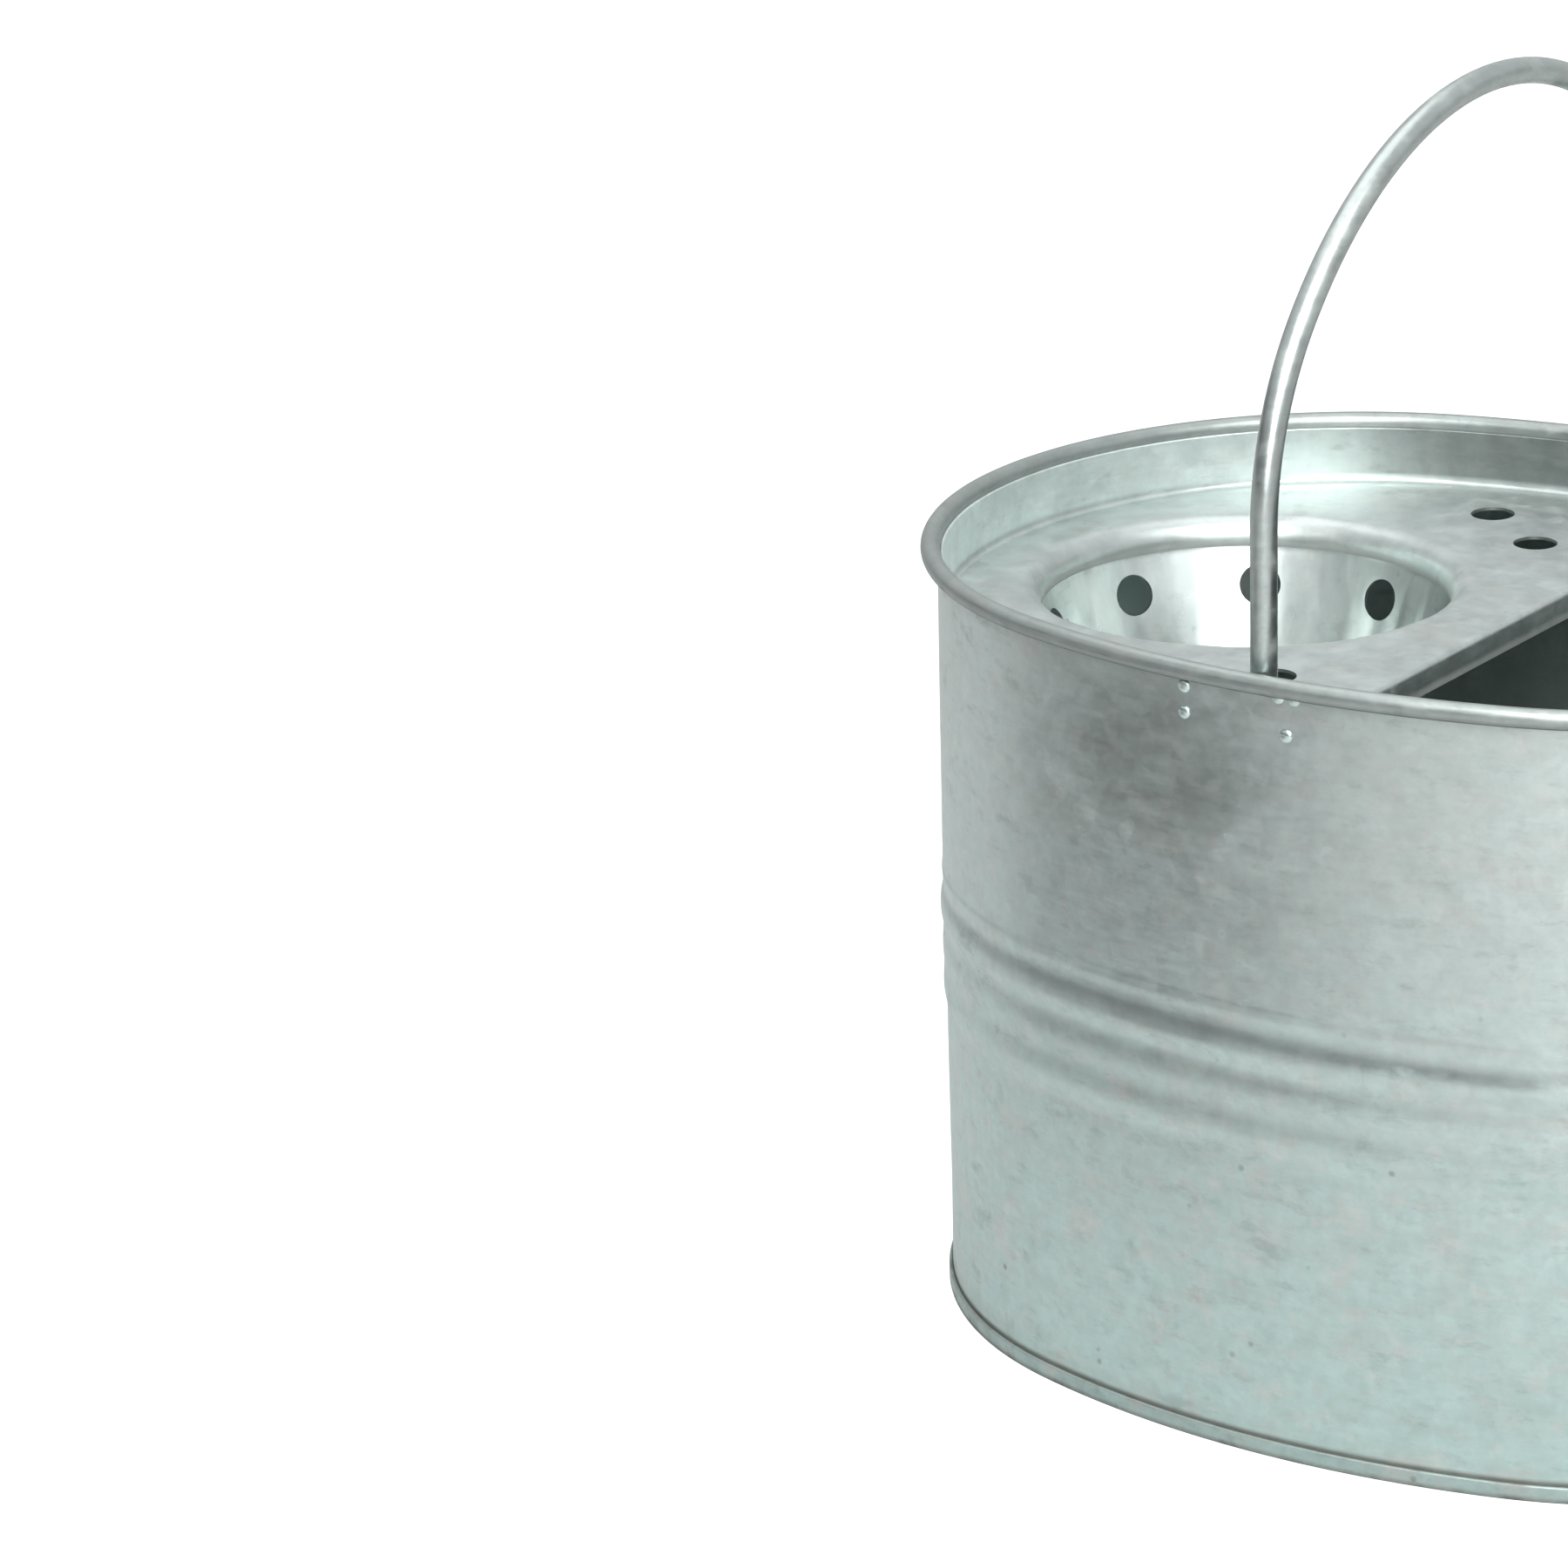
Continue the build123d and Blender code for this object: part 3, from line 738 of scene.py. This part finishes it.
class BUCKET_OT_wall(bpy.types.Operator):
    """Sweeps the wall sheet with its swages and rolled bead round the oval."""

    bl_idname = "bucket.wall"
    bl_label = "Wall"

    def execute(self, context):
        wall = context.scene.bucket_wall
        middle = (BODY_HIGH.x - BEAD_RADIUS - WALL_X, BODY_HIGH.z - BEAD_RADIUS)
        curl = math.asin(middle[0] / BEAD_RADIUS)
        stops = (BODY_LOW.z, *SWAGED, middle[1] - BEAD_RADIUS * math.cos(curl))
        spans = list(zip(stops, stops[1:], WALL_ROWS))
        heights = [np.linspace(low, high, rows, endpoint=False) for low, high, rows in spans[:-1]]
        heights = np.concatenate(heights + [np.linspace(*spans[-1])])
        outer = list(zip(swage_profile(heights, wall), heights))
        bead = arc(middle, BEAD_RADIUS, -90 - math.degrees(curl), 180, BEAD_STEPS)[1:]
        inner = [(offset - WALL_SHEET, height) for offset, height in reversed(outer)]
        offsets, levels = np.array(outer + bead + inner).T
        depth = wall.dent_depth * fade(levels, *WAVES_LOW) * fade(levels, *reversed(WAVES_HIGH))
        points = []
        for turn in oval_turns(wall.round_steps):
            px, py = oval_points(turn, offsets + depth * waves(turn, levels))
            points.extend(zip(px, py, levels))
        columns = len(levels)
        faces = grid_faces(len(points) // columns, columns, True, True)
        piece = make_piece("wall_sheet", points, faces, "zinc_wall", "body_sheet")
        paint("wall_sheet", zinc(
            "wall_zinc", gain=0.93, gloss=0.35, bloom=wall_bloom, stretch=(1, 1, 1.4), dirt_and_shade=wall_shade_and_dirt,
            painted_light=wall_painted_shade,
        ))
        # The inside face is a lit copy of the wall's zinc: a higher gain, painted light and shade by place,
        # and painted shade low down
        piece.data.materials.append(zinc(
            "wall_inside_zinc", gain=1.14, gloss=0.38, stretch=(1, 1, 0.3), grained=(1, 1, 0.15),
            dirt_and_shade=inside_shade_and_stain, painted_light=inside_painted_light,
        ))
        first_inner = len(outer) + len(bead)
        for face in piece.data.polygons:
            rows = [corner % columns for corner in face.vertices]
            face.material_index = int(min(rows) >= first_inner - 1 and max(rows) > first_inner)
        return {"FINISHED"}


# ---------------------------------------------------------------- base pan
class BUCKET_OT_base(bpy.types.Operator):
    """Sweeps the base pan: the folded hem outside the wall and the recessed floor."""

    bl_idname = "bucket.base"
    bl_label = "Base Pan"

    def execute(self, context):
        hem_out = BASE_HIGH.x - WALL_X
        hem_in = hem_out - HEM_THICK
        pan = hem_in - HEM_GAP
        floor = BASE_HIGH.z
        under = floor - BASE_SHEET
        rings = []
        for inward in FLOOR_RINGS:
            crown = FLOOR_CROWN * (1 - math.exp(-inward * MM / FLOOR_CROWN_REACH))
            rings.append((pan - inward * MM, crown))
        section = [(offset, under + crown) for offset, crown in reversed(rings)]
        section += arc((pan - PAN_BEND, under - PAN_BEND), PAN_BEND, 90, 0, 5)
        section += arc((pan + PAN_FOOT_ROUND, PAN_FOOT_ROUND), PAN_FOOT_ROUND, 180, 270, 4)
        section += arc((hem_out - HEM_FOOT_ROUND, HEM_FOOT_ROUND), HEM_FOOT_ROUND, 270, 360, 5)
        section += arc((hem_out - HEM_TOP_ROUND, HEM_TOP - HEM_TOP_ROUND), HEM_TOP_ROUND, 0, 160, 9)
        section += [(hem_in, BODY_LOW.z), (pan + BASE_SHEET, BODY_LOW.z), (pan + BASE_SHEET, floor)]
        section += [(offset, floor + crown) for offset, crown in rings]
        around = oval_turns(BASE_STEPS)
        count = len(section)
        faces = grid_faces(len(around), count, True, False)
        faces.append(tuple(i * count for i in range(len(around))))
        faces.append(tuple(i * count + count - 1 for i in reversed(range(len(around)))))
        make_piece("base", sweep_oval(around, section), faces, "zinc_base", "base_pan")
        paint("base", zinc("base_zinc", gain=0.78, gloss=0.42, grime=0.35, dirt_and_shade=base_shade_and_dirt))
        return {"FINISHED"}


# ---------------------------------------------------------------- wringer plate
def oval_distance(x, y):
    """How far a place is outside the upper wall's outer face; negative inside."""
    from_end = np.arctan2(np.abs(y), np.abs(x) - END_CENTRE)
    end = np.hypot(np.abs(x) - END_CENTRE, y) - END_RADIUS
    side = np.hypot(x, np.abs(y) + SIDE_CENTRE) - SIDE_RADIUS
    return np.where(from_end <= END_TURN, end, side)


def reach_to_oval(x, turns, offset):
    """How far from (x, 0), in these directions, the oval at this offset lies, found by halving."""
    near, far = np.zeros_like(turns), np.full_like(turns, 0.5)
    for _ in range(40):
        middle = (near + far) / 2
        inside = oval_distance(x + middle * np.cos(turns), middle * np.sin(turns)) < offset
        near, far = np.where(inside, middle, near), np.where(inside, far, middle)
    return near


def plate_sheet():
    """The flat sheet and its rolled collar, in rings round the cone's axis: points and faces."""
    corner = math.atan2(WALL_Y + PLATE_EDGE - PLATE_CORNER_GAP, LEDGE_X - CONE_X)
    turns = np.concatenate([
        np.linspace(-corner, corner, PLATE_AHEAD, endpoint=False),
        np.linspace(corner, 2 * math.pi - corner, PLATE_ROUND, endpoint=False),
    ])
    ahead = np.cos(turns) > 0
    to_ledge = np.where(ahead, (LEDGE_X - CONE_X) / np.where(ahead, np.cos(turns), 1), 1)
    reach = np.minimum(reach_to_oval(CONE_X, turns, PLATE_EDGE), to_ledge)
    collar = THROAT + COLLAR_ROUND
    roll = (collar, PLATE_TOP - COLLAR_ROUND)
    top = [(THROAT, PLATE_TOP - COLLAR_DROP)] + arc(roll, COLLAR_ROUND, 180, 90, 10)
    under = arc(roll, COLLAR_ROUND - PLATE_SHEET, 90, 180, 10)
    under.append((THROAT + PLATE_SHEET, PLATE_TOP - COLLAR_DROP))
    shares = np.linspace(0, 1, 9)[1:]
    points = []
    for turn, far, lump in zip(turns, reach, COLLAR_LUMP * waves(turns, PLATE_TOP)):
        flat = [(collar + share * (far - collar), PLATE_TOP) for share in shares]
        below = [(radius, PLATE_TOP - PLATE_SHEET) for radius, height in reversed(flat)]
        for radius, height in top + flat + below + under:
            place = radius + lump * math.sin(math.pi * fade(radius, collar, THROAT))
            x, y = CONE_X + place * math.cos(turn), place * math.sin(turn)
            level = PLATE_WAVE * clear_of_edges(radius - collar, far - radius)
            points.append((x, y, height + level * math.sin(52 * x + 1) * math.sin(41 * y)))
    count = len(top) + 2 * len(shares) + len(under)
    return points, grid_faces(len(turns), count, True, True)


def clear_of_edges(from_inner, from_outer):
    """0 at a sheet's edges and 1 well inside them."""
    return ease(fade(min(from_inner, from_outer), 0, 15 * MM))


def flange_strip():
    """The flange that stands up against the wall: points and faces."""
    face = PLATE_EDGE - PLATE_SHEET
    rise = PLATE_TOP + FLANGE_RISE
    section = [(PLATE_EDGE, PLATE_TOP - PLATE_SHEET), (PLATE_EDGE, rise - 0.4 * MM)]
    section += arc((PLATE_EDGE - PLATE_SHEET / 2, rise - 0.5 * MM), PLATE_SHEET / 2, 20, 160, 5)
    section += [(face, PLATE_TOP + 2 * MM)]
    section += arc((face - FLANGE_BEND, PLATE_TOP + FLANGE_BEND), FLANGE_BEND, 0, -80, 5)
    section += [(face - 2 * FLANGE_BEND, PLATE_TOP - PLATE_SHEET / 2)]
    start = math.acos(FLANGE_END_X / (SIDE_RADIUS + PLATE_EDGE))
    around = np.linspace(start, 2 * math.pi - start, 170)
    return capped(sweep_oval(around, section), len(around), len(section))


def lip_strip():
    """The lip folded down along the plate's straight edge: points and faces."""
    fold = (LEDGE_X, PLATE_TOP - LIP_FOLD)
    start, foot = LEDGE_X - 1 * MM, PLATE_TOP - LIP_DROP
    section = [(start, PLATE_TOP - PLATE_SHEET), (start, PLATE_TOP - 0.02 * MM)]
    section += arc(fold, LIP_FOLD, 90, 0, 8)
    section += [(LEDGE_X + LIP_FOLD, foot), (LEDGE_X + LIP_FOLD - PLATE_SHEET, foot)]
    section += arc(fold, LIP_FOLD - PLATE_SHEET, 0, 90, 5)
    half = WALL_Y + PLATE_EDGE - PLATE_CORNER_GAP
    rows = np.linspace(-half, half, 60)
    points = []
    for y in rows:
        bow = LIP_WAVE * (0.5 + 0.5 * math.sin(31 * y + 0.6))
        points.extend((x - bow * (PLATE_TOP - z) / LIP_DROP, y, z) for x, z in section)
    return capped(points, len(rows), len(section))


class BUCKET_OT_plate(bpy.types.Operator):
    """Forms the wringer plate: flat sheet, rolled collar, flange up the wall and folded lip."""

    bl_idname = "bucket.plate"
    bl_label = "Wringer Plate"

    def execute(self, context):
        piece = make_piece("plate", *plate_sheet(), "zinc_plate", "wringer_plate")
        drains = []
        for from_axis, from_side in DRAIN_PLACES:
            y = PLATE_HIGH.y - from_side
            drains += [((CONE_X + from_axis, side * y, PLATE_TOP), (0, 0, 1)) for side in (-1, 1)]
        drill(piece, drains, DRAIN_RADIUS, PLATE_DRILL)
        work = bmesh.new()
        work.from_mesh(piece.data)
        for points, faces in (flange_strip(), lip_strip()):
            made = [work.verts.new(point) for point in points]
            for face in faces:
                work.faces.new([made[i] for i in face])
        bmesh.ops.recalc_face_normals(work, faces=work.faces)
        work.to_mesh(piece.data)
        work.free()
        smooth(piece.data)
        paint("plate", zinc(
            "plate_zinc", gain=0.88, gloss=0.42, bloom=0.3, dirt_and_shade=plate_stain_and_shade, painted_light=plate_flange_painted_light,
        ))
        return {"FINISHED"}


# ---------------------------------------------------------------- wringer cone
# Creases of the drawn cone: creases round it, phase, radians per metre up it, depth in millimetres
CREASES = ((9, 0.7, 0, 0.22), (14, 2.1, 18, 0.15), (23, 0, -30, 0.08), (37, 1.4, 0, 0.05))


def cone_section():
    """The cone's closed section from its middle hole up the inside and down the outside."""
    top, foot = CONE_HIGH.z, CONE_LOW.z + CONE_SHEET
    band_foot = top - CONE_BAND_HEIGHT
    lean = math.degrees(CONE_LEAN)
    bend_reach = CONE_BEND * math.tan((math.pi / 2 - CONE_LEAN) / 2)
    floor_end = CONE_BAND - (band_foot - foot) * math.tan(CONE_LEAN) - bend_reach
    bend = (floor_end, foot + CONE_BEND)
    inner = [(FLOOR_HOLE_RADIUS + (floor_end - FLOOR_HOLE_RADIUS) * i / 6, foot) for i in range(6)]
    inner += arc(bend, CONE_BEND, -90, -lean, 9)
    start = inner[-1]
    slope = []
    for i in range(1, CONE_ROWS + 1):
        share = i / CONE_ROWS
        radius = start[0] + (CONE_BAND - start[0]) * share
        slope.append((radius, start[1] + (band_foot - start[1]) * share))
    outer = [(CONE_BAND + CONE_SHEET, top), (CONE_BAND + CONE_SHEET, band_foot)]
    outer += [(radius + CONE_SHEET, height - 0.3 * MM) for radius, height in reversed(slope[:-1])]
    outer.append((start[0] + CONE_SHEET, start[1] - 0.3 * MM))
    outer += arc(bend, CONE_BEND + CONE_SHEET, -lean, -90, 9)
    return inner + slope + [(CONE_BAND, top)] + outer + [(FLOOR_HOLE_RADIUS, foot - CONE_SHEET)]


class BUCKET_OT_cone(bpy.types.Operator):
    """Turns the wringer cone with its lap seam, wrinkles and drain holes."""

    bl_idname = "bucket.cone"
    bl_label = "Wringer Cone"

    def execute(self, context):
        foot = CONE_LOW.z + CONE_SHEET
        band_foot = CONE_HIGH.z - CONE_BAND_HEIGHT
        radii, heights = np.array(cone_section()).T
        slack = fade(heights, foot + 4 * MM, foot + 22 * MM) * fade(heights, band_foot, band_foot - 14 * MM)
        turns = np.linspace(0, 2 * math.pi, CONE_STEPS, endpoint=False)
        points = []
        for turn in turns:
            push = -LAP_RISE * fade(abs(turn - LAP_TURN), LAP_HALF, LAP_HALF - LAP_FADE)
            for around, phase, up, depth in CREASES:
                push = push + depth * MM * np.sin(around * turn + up * heights + phase)
            reach = radii + slack * push
            points.extend(zip(CONE_X + reach * math.cos(turn), reach * math.sin(turn), heights))
        faces = grid_faces(len(turns), len(heights), True, True)
        piece = make_piece("cone", points, faces, "zinc_cone", "wringer_cone")
        holes = []
        for drop, first in CONE_HOLE_ROWS:
            height = PLATE_TOP - drop
            radius = CONE_BAND - (band_foot - height) * math.tan(CONE_LEAN)
            for i in range(CONE_HOLES):
                turn = math.radians(first + i * 360 / CONE_HOLES)
                out = Vector((math.cos(turn), math.sin(turn), 0))
                square = out * math.cos(CONE_LEAN) - Vector((0, 0, math.sin(CONE_LEAN)))
                holes.append((Vector((CONE_X, 0, height)) + radius * out, square))
        drill(piece, holes, CONE_HOLE_RADIUS, CONE_DRILL)
        drains = []
        for i in range(FLOOR_HOLES):
            turn = i * 2 * math.pi / FLOOR_HOLES
            x, y = FLOOR_HOLE_CIRCLE * math.cos(turn), FLOOR_HOLE_CIRCLE * math.sin(turn)
            drains.append(((CONE_X + x, y, foot), (0, 0, 1)))
        drill(piece, drains, FLOOR_HOLE_RADIUS, CONE_FLOOR_DRILL)
        paint("cone", zinc(
            "cone_zinc", gain=1.0, gloss=0.30, bloom=0.25, stretch=(1, 1, 0.3), grained=(1, 1, 0.12),
            painted_light=cone_painted_light, grime=0.1, grain=0.25, drawing=0.75,
        ))
        return {"FINISHED"}


# ---------------------------------------------------------------- rivets
def rivet_places(node):
    """The middle of each separate rivet in a node."""
    work = bmesh.new()
    work.from_mesh(NODES[node].data)
    bmesh.ops.remove_doubles(work, verts=work.verts, dist=1e-6)
    left = set(work.verts)
    places = []
    while left:
        group, border = set(), {next(iter(left))}
        while border:
            group |= border
            border = {e.other_vert(v) for v in border for e in v.link_edges} - group
        left -= group
        low = [min(v.co[i] for v in group) for i in range(3)]
        high = [max(v.co[i] for v in group) for i in range(3)]
        places.append((Vector(low) + Vector(high)) / 2)
    work.free()
    return sorted(places, key=lambda place: tuple(place))


def lathe_rivet(work, place, out, grip):
    """Adds a rivet: a domed head at the place, its shank inward and a low tail."""
    dome = [(RIVET_HEAD * math.sin(t), RIVET_RISE * math.cos(t)) for t in np.linspace(0, math.pi / 2, 8)]
    foot = -grip - RIVET_TAIL
    tail = [(RIVET_HEAD * 0.9, -grip), (RIVET_HEAD * 0.8, foot), (0, foot)]
    turn = out.to_track_quat("Z", "Y").to_matrix()
    rings = []
    for radius, height in dome + [(RIVET_SHANK, 0), (RIVET_SHANK, -grip)] + tail:
        steps = RIVET_STEPS if radius > 0 else 1
        ring = []
        for t in np.linspace(0, 2 * math.pi, steps, endpoint=False):
            point = Vector((radius * math.cos(t), radius * math.sin(t), height))
            ring.append(work.verts.new(place + turn @ point))
        rings.append(ring)
    for first, second in zip(rings, rings[1:]):
        for i in range(RIVET_STEPS):
            corners = [first[i % len(first)], first[(i + 1) % len(first)]]
            corners += [second[(i + 1) % len(second)], second[i % len(second)]]
            work.faces.new(list(dict.fromkeys(corners)))


class BUCKET_OT_rivets(bpy.types.Operator):
    """Turns a domed rivet at each rivet of the frame."""

    bl_idname = "bucket.rivets"
    bl_label = "Rivets"

    def execute(self, context):
        finish = zinc("rivet_zinc", gain=1.1, gloss=0.3, grain=0.6)
        grips = {"front_ear_rivets": EAR_GRIP, "rear_ear_rivets": EAR_GRIP, "wringer_rivets": PLATE_GRIP}
        for node, grip in grips.items():
            work = bmesh.new()
            for middle in rivet_places(node):
                side = math.copysign(1, middle.y)
                out = Vector((middle.x, middle.y + side * SIDE_CENTRE, 0)).normalized()
                y = side * (math.sqrt(SIDE_RADIUS**2 - middle.x**2) - SIDE_CENTRE)
                lathe_rivet(work, Vector((middle.x, y, middle.z)), out, grip)
            mesh = bpy.data.meshes.new(node + "_domed")
            bmesh.ops.recalc_face_normals(work, faces=work.faces)
            work.to_mesh(mesh)
            work.free()
            smooth(mesh, RIVET_SHARP)
            mesh.materials.append(finish)
            place_piece(node + "_domed", mesh, node)
        return {"FINISHED"}


# ---------------------------------------------------------------- pieces that keep the frame's shape
class BUCKET_OT_wire(bpy.types.Operator):
    """Finishes the wire inside the rim's bead."""

    bl_idname = "bucket.wire"
    bl_label = "Rim Wire"

    def execute(self, context):
        paint("rim_wire", zinc("wire_zinc", gain=0.9))
        return {"FINISHED"}


class BUCKET_OT_ears(bpy.types.Operator):
    """Finishes the two ears that hold the bail."""

    bl_idname = "bucket.ears"
    bl_label = "Ears"

    def execute(self, context):
        finish = zinc("ear_zinc", gain=0.8, gloss=0.4, grime=0.4)
        for node in ("front_ear", "rear_ear"):
            paint(node, finish)
        return {"FINISHED"}


class BUCKET_OT_bail(bpy.types.Operator):
    """Finishes the bail."""

    bl_idname = "bucket.bail"
    bl_label = "Bail"

    def execute(self, context):
        paint("bail", zinc("bail_zinc", gain=0.78, gloss=0.34, bloom=0.3, grime=0.25))
        return {"FINISHED"}


# ---------------------------------------------------------------- stage
FLOOR_HALF = 6.0
FLOOR_COLOUR = (0.88, 0.88, 0.87, 1)
SHADE_COLOUR = (0.10, 0.10, 0.10, 1)
SHADE_PLACE = (-0.52, -0.62, 0)             # a dark place on the floor for the metal to mirror
SHADE_REACH = (0.05, 0.55)
SKY_COLOUR = (0.97, 0.99, 1.0, 1)
SENSOR_WIDTH = 36
# Name, place, what it shines at, width and height, watts
SOFTBOXES = (
    ("front_softbox", (1.25, -1.75, 1.1), (0.0, 0.0, 0.2), (0.9, 1.3), 27),
    ("floor_softbox", (0.5, -0.65, 1.1), (0.22, -0.38, 0.0), (0.8, 0.8), 19),
    ("top_softbox", (-0.5, 0.3, 2.0), (0.0, 0.0, 0.0), (1.6, 1.6), 10),
)


def add_camera(scene, stage):
    cos_a, sin_a = math.cos(stage.azimuth), math.sin(stage.azimuth)
    cos_e, sin_e = math.cos(stage.elevation), math.sin(stage.elevation)
    cos_r, sin_r = math.cos(stage.roll), math.sin(stage.roll)
    back = Vector((sin_a * cos_e, -cos_a * cos_e, sin_e))
    level = Vector((cos_a, sin_a, 0))
    upright = back.cross(level)
    right = cos_r * level + sin_r * upright
    up = cos_r * upright - sin_r * level
    camera = bpy.data.objects.new("camera", bpy.data.cameras.new("camera"))
    scene.collection.objects.link(camera)
    camera.data.lens = stage.lens
    camera.data.sensor_width = SENSOR_WIDTH
    camera.location = stage.distance * back - stage.aim_left * right + stage.aim_up * up
    camera.rotation_euler = Matrix((right, up, back)).transposed().to_euler()
    scene.camera = camera


def add_floor(scene, name, material):
    """A square of floor just under the bucket."""
    corners = [(-FLOOR_HALF, -FLOOR_HALF, 0), (FLOOR_HALF, -FLOOR_HALF, 0)]
    corners += [(FLOOR_HALF, FLOOR_HALF, 0), (-FLOOR_HALF, FLOOR_HALF, 0)]
    mesh = bpy.data.meshes.new(name)
    mesh.from_pydata(corners, [], [(0, 1, 2, 3)])
    mesh.materials.append(material)
    floor = bpy.data.objects.new(name, mesh)
    scene.collection.objects.link(floor)
    floor.location.z = BASE_LOW.z - 0.1 * MM
    return floor


def add_floors(scene):
    """The white floor that is seen, and the half-shaded one that lights the metal from below."""
    seen_paint, s = new_shader("floor_paint")
    s.surface(Base_Color=FLOOR_COLOUR, Roughness=0.8, Emission_Color=(1, 1, 1, 1), Emission_Strength=1.0)
    seen = add_floor(scene, "floor", seen_paint)
    seen.visible_glossy = False
    seen.visible_diffuse = False
    bounce_paint, s = new_shader("bounce_paint")
    away = s.node("ShaderNodeVectorMath", {"operation": "DISTANCE"}, {0: s.point(), 1: SHADE_PLACE}, 1)
    shade = s.mix(1 - away.ramp(*SHADE_REACH), FLOOR_COLOUR, SHADE_COLOUR)
    s.surface(Base_Color=shade, Roughness=0.8)
    bounce = add_floor(scene, "floor_bounce", bounce_paint)
    bounce.visible_camera = False


def add_world(scene):
    """An even studio, dimmer low down and dimmest low in front of the wringer's end."""
    world = bpy.data.worlds.new("studio")
    world.use_nodes = True
    scene.world = world
    s = Shader(world.node_tree)
    x, y, z = s.split(s.node("ShaderNodeTexCoord", {}, {}, "Generated"))
    front = (-0.589 * x - 0.808 * y).ramp(0.1, 0.85) * (1 - z.ramp(0.05, 0.5))
    level = 0.76 - 0.50 * front - 0.24 * (1 - z.ramp(-0.05, 0.4))
    glow = s.node("ShaderNodeBackground", {}, {"Color": SKY_COLOUR, "Strength": level})
    s.node("ShaderNodeOutputWorld", {}, {"Surface": glow})


def add_softbox(scene, name, place, aim, size, power):
    light = bpy.data.lights.new(name, "AREA")
    light.shape = "RECTANGLE"
    light.size, light.size_y = size
    light.energy = power
    lamp = bpy.data.objects.new(name, light)
    scene.collection.objects.link(lamp)
    lamp.location = place
    lamp.rotation_euler = (Vector(aim) - Vector(place)).to_track_quat("-Z", "Y").to_euler()


class BUCKET_OT_stage(bpy.types.Operator):
    """Makes the camera, the pale floor and the soft light."""

    bl_idname = "bucket.stage"
    bl_label = "Camera, Floor and Light"

    def execute(self, context):
        scene = context.scene
        add_camera(scene, scene.bucket_stage)
        add_floors(scene)
        add_world(scene)
        for softbox in SOFTBOXES:
            add_softbox(scene, *softbox)
        scene.view_settings.view_transform = "Standard"
        scene.view_settings.look = "None"
        return {"FINISHED"}


# ---------------------------------------------------------------- panel and registration
class BUCKET_PT_panel(bpy.types.Panel):
    """Lists the bucket's makers and sizes."""

    bl_idname = "BUCKET_PT_panel"
    bl_label = "Mop Bucket"
    bl_space_type = "VIEW_3D"
    bl_region_type = "UI"
    bl_category = "Bucket"

    def draw(self, context):
        for operator in OPERATORS:
            self.layout.operator(operator.bl_idname)
        for group, kind in GROUPS.items():
            box = self.layout.box()
            for key in kind.__annotations__:
                box.prop(getattr(context.scene, group), key)


OPERATORS = (
    BUCKET_OT_stage, BUCKET_OT_wall, BUCKET_OT_base, BUCKET_OT_plate, BUCKET_OT_cone, BUCKET_OT_rivets,
    BUCKET_OT_wire, BUCKET_OT_ears, BUCKET_OT_bail,
)
CLASSES = tuple(GROUPS.values()) + OPERATORS + (BUCKET_PT_panel,)


def register():
    for made in CLASSES:
        bpy.utils.register_class(made)
    for name, kind in GROUPS.items():
        setattr(bpy.types.Scene, name, PointerProperty(type=kind))


def unregister():
    for name in GROUPS:
        delattr(bpy.types.Scene, name)
    for made in reversed(CLASSES):
        bpy.utils.unregister_class(made)


def main():
    register()
    bpy.ops.bucket.stage()
    bpy.ops.bucket.wall()
    bpy.ops.bucket.base()
    bpy.ops.bucket.plate()
    bpy.ops.bucket.cone()
    bpy.ops.bucket.rivets()
    bpy.ops.bucket.wire()
    bpy.ops.bucket.ears()
    bpy.ops.bucket.bail()


if __name__ == "__main__":
    main()
